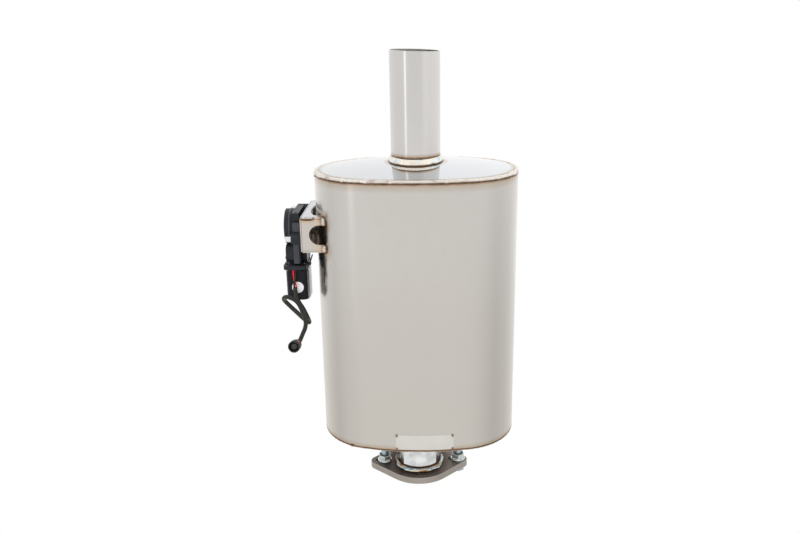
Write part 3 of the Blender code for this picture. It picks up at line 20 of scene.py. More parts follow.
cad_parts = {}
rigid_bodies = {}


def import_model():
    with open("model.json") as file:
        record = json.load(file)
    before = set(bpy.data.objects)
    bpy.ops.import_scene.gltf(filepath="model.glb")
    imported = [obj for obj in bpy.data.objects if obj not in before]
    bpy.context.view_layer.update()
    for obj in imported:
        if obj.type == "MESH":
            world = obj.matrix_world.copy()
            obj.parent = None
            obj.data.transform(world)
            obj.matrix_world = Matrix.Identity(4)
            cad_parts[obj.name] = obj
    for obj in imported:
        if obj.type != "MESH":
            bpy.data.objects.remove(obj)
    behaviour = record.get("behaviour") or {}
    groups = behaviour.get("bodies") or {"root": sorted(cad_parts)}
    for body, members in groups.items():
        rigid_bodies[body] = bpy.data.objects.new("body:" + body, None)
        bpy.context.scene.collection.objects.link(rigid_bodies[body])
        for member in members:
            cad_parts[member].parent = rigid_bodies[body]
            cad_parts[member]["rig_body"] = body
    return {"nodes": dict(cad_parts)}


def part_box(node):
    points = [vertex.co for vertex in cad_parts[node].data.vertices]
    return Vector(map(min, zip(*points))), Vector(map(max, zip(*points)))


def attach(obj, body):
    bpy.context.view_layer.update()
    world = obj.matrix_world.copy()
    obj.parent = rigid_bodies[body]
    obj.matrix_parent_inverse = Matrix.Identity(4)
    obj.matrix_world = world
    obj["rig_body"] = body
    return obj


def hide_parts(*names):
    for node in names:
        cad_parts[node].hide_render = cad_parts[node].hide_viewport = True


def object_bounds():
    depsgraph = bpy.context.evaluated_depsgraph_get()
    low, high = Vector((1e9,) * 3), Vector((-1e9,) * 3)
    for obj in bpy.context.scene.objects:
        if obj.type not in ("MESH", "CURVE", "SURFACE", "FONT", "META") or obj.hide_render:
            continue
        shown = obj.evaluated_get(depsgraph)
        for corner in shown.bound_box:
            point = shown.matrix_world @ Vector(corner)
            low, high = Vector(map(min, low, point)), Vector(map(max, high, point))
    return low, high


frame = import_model()
cad_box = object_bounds()
parts = frame["nodes"]

# %% [markdown]
# ## Sizes
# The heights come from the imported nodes. The few radii that a box can't give are named here.

# %% Sizes
END_RADIUS = 0.0782
BODY_WALL = 0.0015
TOP_RIM = 0.0025
BOTTOM_RIM = 0.0012
RIM_RECESS = 0.0010
TOP_DOME = 0.0100
PLATE_THICKNESS = 0.0020
PIPE_RADIUS = 0.03175
PIPE_WALL = 0.0016
PIPE_ENTRY = 0.014
OUTLET_SLOPE = 0.042
OUTLET_RISE = 0.146
OUTLET_BEAD = (0.0034, 0.0076)
NECK_BEAD = (0.0038, 0.0038)
BODY_BEAD = (0.0014, 0.0014)
GAP = 0.0003
BODY_HALF_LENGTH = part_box("body_shell")[1].x
BODY_HALF_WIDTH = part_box("body_shell")[1].y
BODY_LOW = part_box("bottom_end_plate")[0].z
BODY_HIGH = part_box("body_shell")[1].z + 2.0 * TOP_RIM + GAP
OUTLET_FOOT = BODY_HIGH - RIM_RECESS + 0.9 * TOP_DOME
FLANGE_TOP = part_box("inlet_flange")[1].z
END_CENTRE = BODY_HALF_LENGTH - END_RADIUS
# Steps of the grids, and angles in degrees past which an edge is shown sharp
OVAL_STEPS = 288
PIPE_STEPS = 128
PIPE_ROWS = 10
SHARP = 34.0
SOFT_SHARP = 50.0
BEAD_SHARP = 60.0
SHEET_SHARP = 30.0
print("body", round(BODY_LOW, 4), "to", round(BODY_HIGH, 4))

# %% [markdown]
# ## Camera
# The camera stands about a metre in front of the muffler, a little above its top, and looks
# down at it. Its place and angles were fitted to the photograph's outlines.

# %% Camera
CAMERA_PLACE = Vector((0.02771, -1.03529, 0.63200))
CAMERA_YAW = -0.0486
CAMERA_PITCH = 0.3083
CAMERA_ROLL = -0.0180
FOCAL_PIXELS = 813.11
PICTURE_WIDTH = 800
SENSOR_WIDTH = 36.0


def add_object(name, data):
    """Puts data, such as a mesh or a lamp, into the scene as an object."""
    made = bpy.data.objects.new(name, data)
    bpy.context.scene.collection.objects.link(made)
    return made


def add_camera():
    """Looks along f = (sin y cos p, cos y cos p, -sin p), then rolls about f."""
    forward = Vector((
        math.sin(CAMERA_YAW) * math.cos(CAMERA_PITCH),
        math.cos(CAMERA_YAW) * math.cos(CAMERA_PITCH),
        -math.sin(CAMERA_PITCH),
    ))
    level = Vector((math.cos(CAMERA_YAW), -math.sin(CAMERA_YAW), 0.0))
    above = level.cross(forward)
    right = level * math.cos(CAMERA_ROLL) + above * math.sin(CAMERA_ROLL)
    up = above * math.cos(CAMERA_ROLL) - level * math.sin(CAMERA_ROLL)
    data = bpy.data.cameras.new("camera")
    data.sensor_width = SENSOR_WIDTH
    data.lens = SENSOR_WIDTH * FOCAL_PIXELS / PICTURE_WIDTH
    camera = add_object("camera", data)
    turn = Matrix((right, up, -forward)).transposed()
    camera.matrix_world = Matrix.Translation(CAMERA_PLACE) @ turn.to_4x4()
    bpy.context.scene.camera = camera


add_camera()
print("camera lens", round(bpy.context.scene.camera.data.lens, 2), "mm")

# %% [markdown]
# ## Node helpers
# A material is a small graph. `Graph` makes its nodes and joins them, so that each finish
# below reads as a short list of steps.


# %% Node helpers
class Graph:
    """Makes the nodes of one material or world, and joins them."""

    def __init__(self, owner):
        owner.use_nodes = True
        self.owner = owner
        self.tree = owner.node_tree

    def join(self, socket, value):
        """Links a socket to a node's output, or sets it to a plain value."""
        if isinstance(value, bpy.types.NodeSocket):
            self.tree.links.new(value, socket)
        else:
            socket.default_value = value

    def node(self, kind, values=None, **settings):
        made = self.tree.nodes.new(kind)
        for name, value in settings.items():
            setattr(made, name, value)
        for name, value in (values or {}).items():
            self.join(made.inputs[name], value)
        return made

    def feed(self, **sockets):
        """Joins colour, roughness and so on to the material's shader, and returns the material."""
        shader = self.tree.nodes["Principled BSDF"]
        for key, value in sockets.items():
            self.join(shader.inputs[key.replace("_", " ")], value)
        return self.owner

    def math(self, operation, *values, clamp=False):
        made = self.node("ShaderNodeMath", dict(enumerate(values)), operation=operation, use_clamp=clamp)
        return made.outputs[0]

    def plus(self, first, second):
        return self.math("ADD", first, second)

    def minus(self, first, second):
        return self.math("SUBTRACT", first, second)

    def times(self, first, second):
        return self.math("MULTIPLY", first, second)

    def nearest(self, first, second):
        return self.math("MINIMUM", first, second)

    def millimetres(self, metres):
        return self.times(metres, 1000.0)

    def length(self, vector):
        return self.node("ShaderNodeVectorMath", {0: vector}, operation="LENGTH").outputs["Value"]

    def from_axis(self):
        """Distance from the pipes' axis, which is the Z axis."""
        return self.length(self.place((1.0, 1.0, 0.0)))

    def span(self, value, low, high, to_low=0.0, to_high=1.0):
        """Value carried from low...high to to_low...to_high, and held there outside."""
        values = {"Value": value, "From Min": low, "From Max": high, "To Min": to_low, "To Max": to_high}
        return self.node("ShaderNodeMapRange", values, clamp=True).outputs["Result"]

    def ramp(self, factor, stops):
        """Colour ramp. Stops are (place, (r, g, b)) pairs in linear colour."""
        made = self.node("ShaderNodeValToRGB", {"Fac": factor})
        ramp = made.color_ramp
        while len(ramp.elements) < len(stops):
            ramp.elements.new(1.0)
        for element, (place, colour) in zip(ramp.elements, stops):
            element.position = place
            element.color = (*colour, 1.0)
        return made.outputs["Color"]

    def mix(self, factor, first, second, blend="MIX"):
        """Mixes two colours, each the output of a node or an (r, g, b) tuple."""
        made = self.node("ShaderNodeMix", {0: factor}, data_type="RGBA", blend_type=blend)
        for socket, value in ((6, first), (7, second)):
            self.join(made.inputs[socket], (*value, 1.0) if isinstance(value, tuple) else value)
        return made.outputs[2]

    def place(self, stretch=(1.0, 1.0, 1.0), source="Object"):
        """Coordinates, each axis multiplied by its stretch."""
        start = self.node("ShaderNodeTexCoord").outputs[source]
        return self.node("ShaderNodeMapping", {"Vector": start, "Scale": stretch}).outputs["Vector"]

    def noise(self, scale, detail=2.0, stretch=(1.0, 1.0, 1.0), roughness=0.5, source="Object"):
        """Soft random values between 0 and 1, most of them near 0.5."""
        values = {"Vector": self.place(stretch, source), "Scale": scale, "Detail": detail,
                  "Roughness": roughness}
        return self.node("ShaderNodeTexNoise", values).outputs["Fac"]

    def axis(self, letter, source="Object"):
        """One coordinate."""
        start = self.node("ShaderNodeTexCoord").outputs[source]
        return self.node("ShaderNodeSeparateXYZ", {"Vector": start}).outputs[letter]

    def bump(self, height, distance, strength=1.0):
        values = {"Height": height, "Distance": distance, "Strength": strength}
        return self.node("ShaderNodeBump", values).outputs["Normal"]

    def radial_tangent(self):
        """The direction round the Z axis, which the grain of a rolled sheet follows."""
        return self.node("ShaderNodeTangent", direction_type="RADIAL", axis="Z").outputs["Tangent"]


def start_material(name, metallic=1.0, **constants):
    """The graph of a new Principled material, with its constants set on the shader itself."""
    graph = Graph(bpy.data.materials.new(name))
    graph.feed(Metallic=metallic, **constants)
    return graph


print("node helpers ready")

# %% [markdown]
# ## Heat colours
# Stainless steel oxidises beside a weld: dark brown at the bead, then gold, then straw, then
# plain metal. `heat_colour` reads that run from a distance in millimetres.

# %% Heat colours
STAINLESS = (0.600, 0.573, 0.540)
# Millimetres from a weld at which the steel is plain again
HEAT_REACH = 16.0
HEAT_STOPS = (
    (0.00, (0.130, 0.085, 0.060)),
    (0.07, (0.260, 0.165, 0.105)),
    (0.15, (0.430, 0.320, 0.225)),
    (0.28, (0.520, 0.450, 0.375)),
    (1.00, STAINLESS),
)


def heat_colour(graph, distance, base=STAINLESS):
    """Colour for a distance from the weld in millimetres, its edge made uneven by noise."""
    wander = graph.math("MULTIPLY_ADD", graph.noise(90.0, 3.0), 3.0, -1.5)
    uneven = graph.plus(distance, wander)
    stops = HEAT_STOPS[:-1] + ((1.0, base),)
    return graph.ramp(graph.math("DIVIDE", uneven, HEAT_REACH, clamp=True), stops)


print("heat colours ready")

# %% [markdown]
# ## Satin steel of the can
# The rolled sheet has fine level grain, so its reflections smear up and down: that is the
# anisotropic value. Faint blotches and handling marks break up the roughness. Heat colour could
# be painted on, but here it follows from the distance to the nearest weld.

# %% Satin steel of the can
# Middles of the bracket's four feet on the can, where it is welded, and their reach
BRACKET_FEET = [(-0.1155, side, height) for side in (-0.0475, 0.0475) for height in (0.3760, 0.3410)]
FOOT_RADIUS = 0.0055


def make_body_steel():
    """Satin sheet with heat colour at both rims and round the bracket's feet."""
    graph = start_material("body_steel", Anisotropic=0.55, Anisotropic_Rotation=0.25)
    height = graph.axis("Z")
    from_top = graph.millimetres(graph.minus(BODY_HIGH - 2.0 * TOP_RIM, height))
    from_bottom = graph.millimetres(graph.minus(height, BODY_LOW + 2.0 * BOTTOM_RIM))
    distance = graph.nearest(graph.times(from_top, 1.4), graph.times(from_bottom, 2.2))
    for foot in BRACKET_FEET:
        gap = graph.node("ShaderNodeVectorMath", {0: graph.place(), 1: foot}, operation="DISTANCE")
        reach = graph.millimetres(graph.minus(gap.outputs["Value"], FOOT_RADIUS))
        distance = graph.nearest(distance, graph.times(reach, 1.3))
    heat = heat_colour(graph, distance)
    stains = graph.noise(7.0, 4.0, (1.0, 1.0, 0.8), 0.55)
    shade = graph.ramp(stains, ((0.32, (0.980, 0.976, 0.970)), (0.68, (1.0, 1.0, 1.0))))
    colour = graph.mix(1.0, heat, shade, "MULTIPLY")
    lines = graph.noise(700.0, 2.0, (0.02, 0.02, 1.0))
    mottle = graph.plus(graph.noise(60.0, 3.0), graph.times(lines, 0.3))
    roughness = graph.span(mottle, 0.45, 0.85, 0.235, 0.275)
    bands = graph.noise(16.0, 1.0, (1.0, 1.0, 0.05))
    normal = graph.bump(bands, 0.0009, 0.5)
    return graph.feed(Base_Color=colour, Roughness=roughness, Normal=normal, Tangent=graph.radial_tangent())


body_steel = make_body_steel()
print("satin steel ready")

# %% [markdown]
# ## Steel of the end plates and the pipes
# The end plates are bright sheet, close to a mirror, so that they show the pipe that stands on
# them. The pipes are drawn tube, with fine lines along them, and their heat colour is narrower:
# the distance is squared, so that it fades faster.

# %% Steel of the end plates and the pipes
# Millimetres over which a pipe's tint fades
PIPE_TINT = 6.5


def make_plate_steel():
    """Bright rolled sheet, close to a mirror, with heat colour at the rim and round the pipe."""
    graph = start_material("plate_steel")
    across = graph.millimetres(graph.axis("Y", "UV"))
    from_pipe = graph.millimetres(graph.minus(graph.from_axis(), PIPE_RADIUS + OUTLET_BEAD[0]))
    distance = graph.nearest(graph.times(across, 3.0), graph.times(from_pipe, 2.2))
    colour = heat_colour(graph, distance, (0.715, 0.725, 0.738))
    smears = graph.noise(22.0, 5.0, (1.0, 1.0, 1.0), 0.65)
    roughness = graph.span(smears, 0.35, 0.75, 0.05, 0.10)
    normal = graph.bump(graph.noise(9.0, 2.0), 0.0006, 0.3)
    return graph.feed(Base_Color=colour, Roughness=roughness, Normal=normal)


def make_pipe_steel():
    """Drawn tube: fine lines along it, heat colour where it meets its welds."""
    graph = start_material("pipe_steel", Anisotropic=0.35, Anisotropic_Rotation=0.25)
    height = graph.axis("Z")
    above = graph.math("ABSOLUTE", graph.minus(height, OUTLET_FOOT + OUTLET_BEAD[1]))
    foot = graph.math("ABSOLUTE", graph.minus(height, FLANGE_TOP + NECK_BEAD[1]))
    under = graph.math("ABSOLUTE", graph.minus(height, BODY_LOW - BODY_BEAD[1]))
    distance = graph.millimetres(graph.nearest(above, graph.nearest(foot, under)))
    narrow = graph.math("POWER", graph.math("DIVIDE", distance, PIPE_TINT), 2.0)
    heat = heat_colour(graph, graph.times(narrow, HEAT_REACH), (0.640, 0.620, 0.600))
    stains = graph.noise(30.0, 4.0, (1.0, 1.0, 0.4), 0.6)
    shade = graph.ramp(stains, ((0.30, (0.97, 0.97, 0.965)), (0.65, (1.0, 1.0, 1.0))))
    colour = graph.mix(1.0, heat, shade, "MULTIPLY")
    lines = graph.noise(900.0, 2.0, (1.0, 1.0, 0.01))
    roughness = graph.span(lines, 0.30, 0.70, 0.14, 0.24)
    return graph.feed(Base_Color=colour, Roughness=roughness, Tangent=graph.radial_tangent())


plate_steel = make_plate_steel()
pipe_steel = make_pipe_steel()
print("plate and pipe steel ready")

# %% [markdown]
# ## Steel of the flange
# The flange is cut from hot-rolled plate, which stays dark and goes darker next to its weld. Its
# top and its sides are toned apart, and the height tells which is which.


# %% Steel of the flange
def make_flange_steel():
    """Hot-rolled plate, darkened by heat, with faint lines from its facing cut, and a top painted lighter
    toward +X as light.
    """
    graph = start_material("flange_steel")
    from_weld = graph.millimetres(graph.minus(graph.from_axis(), PIPE_RADIUS + 0.004))
    blotch = graph.noise(45.0, 5.0, (1.0, 1.0, 1.0), 0.65)
    uneven = graph.plus(from_weld, graph.span(blotch, 0.2, 0.8, -4.0, 4.0))
    top = graph.ramp(graph.math("DIVIDE", uneven, 34.0, clamp=True), (
        (0.00, (0.060, 0.036, 0.026)),
        (0.18, (0.090, 0.072, 0.062)),
        (0.45, (0.150, 0.130, 0.115)),
        (1.00, (0.220, 0.198, 0.182)),
    ))
    # Painted light: the top is multiplied by 0.75 at the left rising to 1.35 at the right, as if lit from
    # that side
    painted_light_rightward = graph.span(graph.axis("X"), -0.06, 0.06)
    lighter = graph.ramp(painted_light_rightward, ((0.25, (0.75,) * 3), (0.85, (1.35,) * 3)))
    top = graph.mix(1.0, top, lighter, "MULTIPLY")
    side = graph.ramp(blotch, ((0.30, (0.36, 0.325, 0.295)), (0.70, (0.43, 0.39, 0.355))))
    upper = graph.span(graph.axis("Z"), FLANGE_TOP - 0.0005, FLANGE_TOP - 0.0001)
    colour = graph.mix(upper, side, top)
    lines = graph.noise(420.0, 3.0, (0.05, 1.0, 0.05))
    mottle = graph.plus(blotch, graph.times(lines, 0.4))
    roughness = graph.span(mottle, 0.4, 1.0, 0.26, 0.46)
    normal = graph.bump(lines, 0.00012, 0.5)
    return graph.feed(Base_Color=colour, Roughness=roughness, Normal=normal)


flange_steel = make_flange_steel()
print("flange steel ready")

# %% [markdown]
# ## Steel of the bracket
# The bracket is welded from thin plates, and heat has tinted nearly all of it. The colours run
# from the can and from the corner welds, so two distances are worked out, and the nearer counts.

# %% Steel of the bracket
BRACKET_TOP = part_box("bracket_upper_flange")[1].z
BRACKET_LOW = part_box("bracket_lower_flange")[0].z
BRACKET_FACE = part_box("bracket_face")[0].x
BRACKET_HALF_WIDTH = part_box("bracket_face")[1].y
CORNER_WELD_END = BRACKET_FACE + 0.0190


def make_bracket_steel():
    """Sheet with a faint straw tint, and heat colour toward the body and the corner welds."""
    graph = start_material("bracket_steel")
    x, y, z = graph.axis("X"), graph.axis("Y"), graph.axis("Z")
    inward = graph.node("ShaderNodeCombineXYZ", {"X": graph.plus(x, END_CENTRE), "Y": y}).outputs[0]
    from_body = graph.millimetres(graph.minus(graph.length(inward), END_RADIUS))
    side = graph.minus(graph.math("ABSOLUTE", y), BRACKET_HALF_WIDTH)
    up = graph.minus(BRACKET_TOP, z)
    corner = graph.node("ShaderNodeCombineXYZ", {"X": side, "Y": up}).outputs[0]
    from_corner = graph.plus(graph.times(graph.millimetres(graph.length(corner)), 1.1), 0.5)
    past_weld = graph.span(x, CORNER_WELD_END, CORNER_WELD_END + 0.002, 0.0, 20.0)
    from_corner = graph.plus(from_corner, past_weld)
    distance = graph.nearest(from_body, from_corner)
    uneven = graph.plus(distance, graph.span(graph.noise(110.0, 3.0), 0.2, 0.8, -1.2, 1.2))
    colour = graph.ramp(graph.math("DIVIDE", uneven, 13.0, clamp=True), (
        (0.00, (0.30, 0.19, 0.17)),
        (0.16, (0.24, 0.17, 0.22)),
        (0.28, (0.42, 0.27, 0.17)),
        (0.48, (0.62, 0.49, 0.35)),
        (0.75, (0.585, 0.530, 0.475)),
        (1.00, (0.595, 0.550, 0.500)),
    ))
    flat_top = graph.span(z, BRACKET_TOP - 0.0004, BRACKET_TOP - 0.0001)
    away = graph.times(flat_top, graph.span(distance, 3.0, 7.0))
    cooler = graph.mix(away, colour, (0.66, 0.66, 0.68))
    lines = graph.noise(500.0, 3.0, (1.0, 1.0, 0.05))
    roughness = graph.span(lines, 0.3, 0.7, 0.26, 0.31)
    return graph.feed(Base_Color=cooler, Roughness=roughness, Normal=graph.bump(lines, 0.00001, 0.4))


bracket_steel = make_bracket_steel()
print("bracket steel ready")

# %% [markdown]
# ## Weld beads
# A bead is a row of small crescents, one for each dab of the filler rod. They could be modelled
# one by one, but they are finer than a pixel in most views. So a bump with the right pitch makes
# them, and a ramp gives each weld its own run of oxide colours.

# %% Weld beads
RIPPLE_BOW = 60.0
INNER_FADE = 0.0008
OUTER_FADE = 0.0012
DARK_FADE = 0.0010
BEAD_BROWN = (0.165, 0.105, 0.070)


def make_bead_steel(name, pitch, colours, ripple, edges, across=0.0, stretch=1.0,
                    dark_below=None, painted_shade_left=None):
    """Weld bead, with UV x along it and UV y across it.

    Its ripples are crescents: their phase is (x + bow (y - m)^2) / pitch, with m the middle
    between the two edges. Near an edge the metal turns brown, and so it does below the height
    dark_below. Left of the place given as the last argument, the bead is painted brown as shade.
    The share across moves the colours with y, so that they run as lines along the bead.
    """
    graph = start_material(name)
    along, over = graph.axis("X", "UV"), graph.axis("Y", "UV")
    first, last = edges
    off = graph.minus(over, 0.5 * (first + last))
    bow = graph.times(graph.times(off, off), RIPPLE_BOW)
    phase = graph.math("FRACT", graph.math("DIVIDE", graph.plus(along, bow), pitch))
    crest = graph.math("SINE", graph.times(phase, math.pi))
    wander = graph.noise(60.0, 2.5, (stretch, 2.0, 1.0), source="UV")
    shift = graph.span(over, first, last, -0.5 * across, 0.5 * across)
    wave = graph.plus(graph.times(crest, 0.06), shift)
    colour = graph.ramp(graph.plus(wander, wave), colours)
    inner = graph.span(over, first, first + INNER_FADE)
    outer = graph.span(over, last - OUTER_FADE, last, 1.0, 0.0)
    clean = graph.times(inner, outer)
    if dark_below is not None:
        low, high = dark_below - 0.4 * DARK_FADE, dark_below + 0.6 * DARK_FADE
        clean = graph.times(clean, graph.span(graph.axis("Z"), low, high))
    # Painted shade: left of this place the bead is mixed to the brown, as the shaded side of a round weld
    if painted_shade_left is not None:
        low, high = painted_shade_left - DARK_FADE, painted_shade_left + DARK_FADE
        clean = graph.times(clean, graph.span(graph.axis("X"), low, high))
    colour = graph.mix(clean, BEAD_BROWN, colour)
    normal = graph.bump(crest, ripple, 0.8)
    roughness = graph.span(wander, 0.3, 0.7, 0.15, 0.24)
    return graph.feed(Base_Color=colour, Roughness=roughness, Normal=normal)


rim_bead = make_bead_steel("rim_bead_steel", 0.0021, (
    (0.34, (0.62, 0.47, 0.35)),
    (0.42, (0.74, 0.66, 0.56)),
    (0.52, (0.79, 0.75, 0.69)),
    (0.62, (0.76, 0.71, 0.65)),
    (0.70, (0.58, 0.47, 0.42)),
), 0.00004, (-0.0009, 0.0076))
bottom_bead = make_bead_steel("bottom_bead_steel", 0.0021, (
    (0.36, (0.40, 0.24, 0.15)),
    (0.46, (0.56, 0.38, 0.26)),
    (0.56, (0.70, 0.60, 0.50)),
    (0.66, (0.48, 0.32, 0.24)),
), 0.00004, (-0.0009, 0.0040))
outlet_bead = make_bead_steel("outlet_bead_steel", 0.0024, (
    (0.33, (0.80, 0.60, 0.46)),
    (0.42, (0.88, 0.77, 0.66)),
    (0.52, (0.90, 0.85, 0.77)),
    (0.60, (0.86, 0.85, 0.78)),
    (0.66, (0.46, 0.66, 0.80)),
    (0.72, (0.84, 0.72, 0.60)),
), 0.00018, (0.0012, 0.0092))
# The neck weld's left side is painted brown as shade
neck_bead = make_bead_steel("neck_bead_steel", 0.0019, (
    (0.26, (0.17, 0.11, 0.08)),
    (0.34, (0.52, 0.30, 0.14)),
    (0.41, (0.84, 0.74, 0.56)),
    (0.47, (0.58, 0.72, 0.74)),
    (0.53, (0.14, 0.22, 0.40)),
    (0.58, (0.50, 0.62, 0.60)),
    (0.64, (0.62, 0.38, 0.18)),
    (0.74, (0.20, 0.12, 0.08)),
), 0.00014, (0.0, 0.0062), 0.36, painted_shade_left=-0.0315)
BRIGHT_STOPS = (
    (0.32, (0.58, 0.18, 0.08)),
    (0.38, (0.20, 0.30, 0.62)),
    (0.43, (0.45, 0.66, 0.78)),
    (0.49, (0.84, 0.84, 0.78)),
    (0.54, (0.80, 0.52, 0.40)),
    (0.59, (0.86, 0.80, 0.64)),
    (0.64, (0.40, 0.60, 0.70)),
    (0.70, (0.50, 0.28, 0.14)),
)
corner_bead = make_bead_steel("corner_bead_steel", 0.0019, BRIGHT_STOPS, 0.00014, (-0.0010, 1.0), 0.0, 3.0,
                              BRACKET_TOP - 0.0013)
leg_bead = make_bead_steel("leg_bead_steel", 0.0019, BRIGHT_STOPS, 0.00014, (-0.0010, 1.0), 0.0, 3.0)
print("weld beads ready")

# %% [markdown]
# ## Small metal parts
# Bolts, nuts, screws, bushes and the label plate are plain metals that differ only in colour,
# gloss and grain, so one function makes them all. The nuts' tops are darker.

# %% Small metal parts
NUT_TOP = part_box("flange_nut_left")[1].z - 0.0004


def make_plain_metal(name, colour, low, high, dark=0.90, grain=120.0, above=None):
    """Plain metal with slight blotches of tone and roughness, darker on what lies above a height."""
    graph = start_material(name)
    blotch = graph.noise(grain, 4.0)
    darker = tuple(channel * dark for channel in colour)
    tone = graph.ramp(blotch, ((0.30, darker), (0.70, colour)))
    if above is not None:
        # Above that height the tone is darkened to 0.18 of the colour
        darker_top = graph.span(graph.axis("Z"), above, above + 0.0002)
        tone = graph.mix(darker_top, tone, tuple(0.18 * channel for channel in colour))
    roughness = graph.span(blotch, 0.3, 0.7, low, high)
    normal = graph.bump(graph.noise(4.0 * grain, 3.0), 0.00002, 0.4)
    return graph.feed(Base_Color=tone, Roughness=roughness, Normal=normal)


inner_steel = make_plain_metal("inner_steel", (0.50, 0.48, 0.46), 0.34, 0.50)
zinc_steel = make_plain_metal("zinc_steel", (0.62, 0.69, 0.70), 0.30, 0.40)
stud_zinc = make_plain_metal("stud_zinc", (0.48, 0.60, 0.66), 0.34, 0.44)
nut_zinc = make_plain_metal("nut_zinc", (0.69, 0.75, 0.73), 0.30, 0.40, above=NUT_TOP)
black_screw = make_plain_metal("black_screw", (0.16, 0.17, 0.18), 0.30, 0.42)
screw_cream = make_plain_metal("pale_screw", (0.86, 0.85, 0.81), 0.34, 0.46)
bronze = make_plain_metal("bronze", (0.55, 0.38, 0.18), 0.30, 0.45)
label_steel = make_plain_metal("label_metal", (0.72, 0.71, 0.67), 0.26, 0.38, 0.94, 60.0)
print("small metal parts ready")

# %% [markdown]
# ## Plastic, rubber and paper finishes
# Moulded plastic has a fine texture and soft wear. The wires are glossier, and the sheath is
# a dull black-green rubber.


# %% Plastic, rubber and paper finishes
def make_moulded(name, colour, low, high, texture=900.0, depth=0.00006, shine=0.22):
    """Moulded black or coloured plastic with a fine even texture."""
    graph = start_material(name, metallic=0.0, Specular_IOR_Level=shine)
    tone = graph.noise(60.0, 4.0)
    lighter = tuple(1.6 * channel + 0.004 for channel in colour)
    mixed = graph.ramp(tone, ((0.35, colour), (0.75, lighter)))
    grain = graph.noise(texture, 2.0)
    normal = graph.bump(grain, depth, 0.8)
    return graph.feed(Base_Color=mixed, Roughness=graph.span(tone, 0.3, 0.7, low, high), Normal=normal)


black_plastic = make_moulded("black_plastic", (0.014, 0.015, 0.019), 0.28, 0.42)
tie_nylon = make_moulded("tie_nylon", (0.016, 0.016, 0.016), 0.35, 0.45)
red_insulation = make_moulded("red_insulation", (0.62, 0.012, 0.020), 0.28, 0.36, 400.0)
black_insulation = make_moulded("black_insulation", (0.012, 0.012, 0.012), 0.30, 0.38, 400.0)
sheath_rubber = make_moulded("sheath_rubber", (0.021, 0.021, 0.017), 0.42, 0.56, 1500.0, 0.00010)
connector_rubber = make_moulded("connector_rubber", (0.030, 0.029, 0.027), 0.32, 0.46, 700.0)
# Painted shade: near-black finish for the inside of the connector's mouth, where shade falls in the recess
painted_shade_mouth = make_moulded("painted_shade_mouth", (0.004, 0.004, 0.004), 0.60, 0.80, 700.0, shine=0.05)
sticker_paper = make_moulded("sticker_paper", (0.74, 0.75, 0.75), 0.38, 0.48, 500.0, 0.00002, 0.5)
print("plastic and paper finishes ready")

# %% [markdown]
# ## The motor's finish
# The motor is a steel can with a black wrap round it. One material does both, with the edge of
# the wrap set by the place, because the can is one solid.

# %% The motor's finish
MOTOR_WRAP_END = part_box("motor_can")[1].x - 0.0020
MOTOR_WRAP_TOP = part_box("motor_can")[1].z - 0.0030


def make_motor_finish():
    """Steel can with a black wrap round its front and outer side."""
    graph = start_material("motor_finish", Specular_IOR_Level=0.14)
    inward = graph.span(graph.axis("X"), MOTOR_WRAP_END - 0.0001, MOTOR_WRAP_END + 0.0001)
    shoulder = graph.span(graph.axis("Z"), MOTOR_WRAP_TOP - 0.0001, MOTOR_WRAP_TOP + 0.0001)
    wrap = graph.math("MAXIMUM", inward, shoulder)
    lines = graph.noise(600.0, 3.0, (1.0, 1.0, 0.03))
    steel = graph.ramp(lines, ((0.30, (0.46, 0.46, 0.46)), (0.70, (0.60, 0.60, 0.59))))
    colour = graph.mix(wrap, (0.012, 0.012, 0.014), steel)
    roughness = graph.span(wrap, 0.0, 1.0, 0.24, 0.36)
    return graph.feed(Base_Color=colour, Roughness=roughness, Metallic=wrap)


motor_finish = make_motor_finish()
print("motor finish ready")

# %% [markdown]
# ## Surface helpers
# Every new piece is a grid of points, ring after ring. These helpers make circles, small domes
# and turned profiles, and put a finished mesh on a body of the model.


# %% Surface helpers
def shade(mesh, sharp=SHARP):
    """Shades a mesh smooth between the edges that are sharper than an angle in degrees."""
    mesh.shade_smooth()
    mesh.set_sharp_from_angle(angle=math.radians(sharp))


def add_piece(name, mesh, material, body="muffler", sharp=SHARP):
    """Makes a mesh a piece that rides on a body."""
    mesh.materials.append(material)
    shade(mesh, sharp)
    piece = add_object(name, mesh)
    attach(piece, body)
    return piece


def full_turn(count):
    """Angles at even steps of a whole turn."""
    return np.arange(count) * 2.0 * math.pi / count


def unit(vector):
    """The vector at length 1."""
    return vector / np.linalg.norm(vector)


def around(turn, first, second):
    """Points cos(t) first + sin(t) second for each angle t."""
    return np.outer(np.cos(turn), first) + np.outer(np.sin(turn), second)


def at_height(points, height):
    """Points (n, 2) with a height added, as an (n, 3) array."""
    return np.concatenate([points, np.full((len(points), 1), height)], axis=1)


def turned_rings(profile, steps=PIPE_STEPS):
    """Rings of a (radius, height) profile about Z."""
    circle = around(full_turn(steps), (1.0, 0.0), (0.0, 1.0))
    return np.array([at_height(circle * radius, height) for radius, height in profile])


def dome_rings(middle, out, circle, radius, rise, sink, rows):
    """Rings of radius r sin(t) raised by rise cos(t), on a foot sunk into what carries it."""
    rings = [middle - sink * out + radius * circle]
    for t in np.linspace(0.5 * math.pi, 0.1, rows):
        rings.append(middle + rise * math.cos(t) * out + radius * math.sin(t) * circle)
    return rings


print("surface helpers ready")

# %% [markdown]
# ## Loft
# `loft` turns an array of rings into a mesh. Its UV map holds metres along and across the
# rings, so that weld ripples have a real pitch.


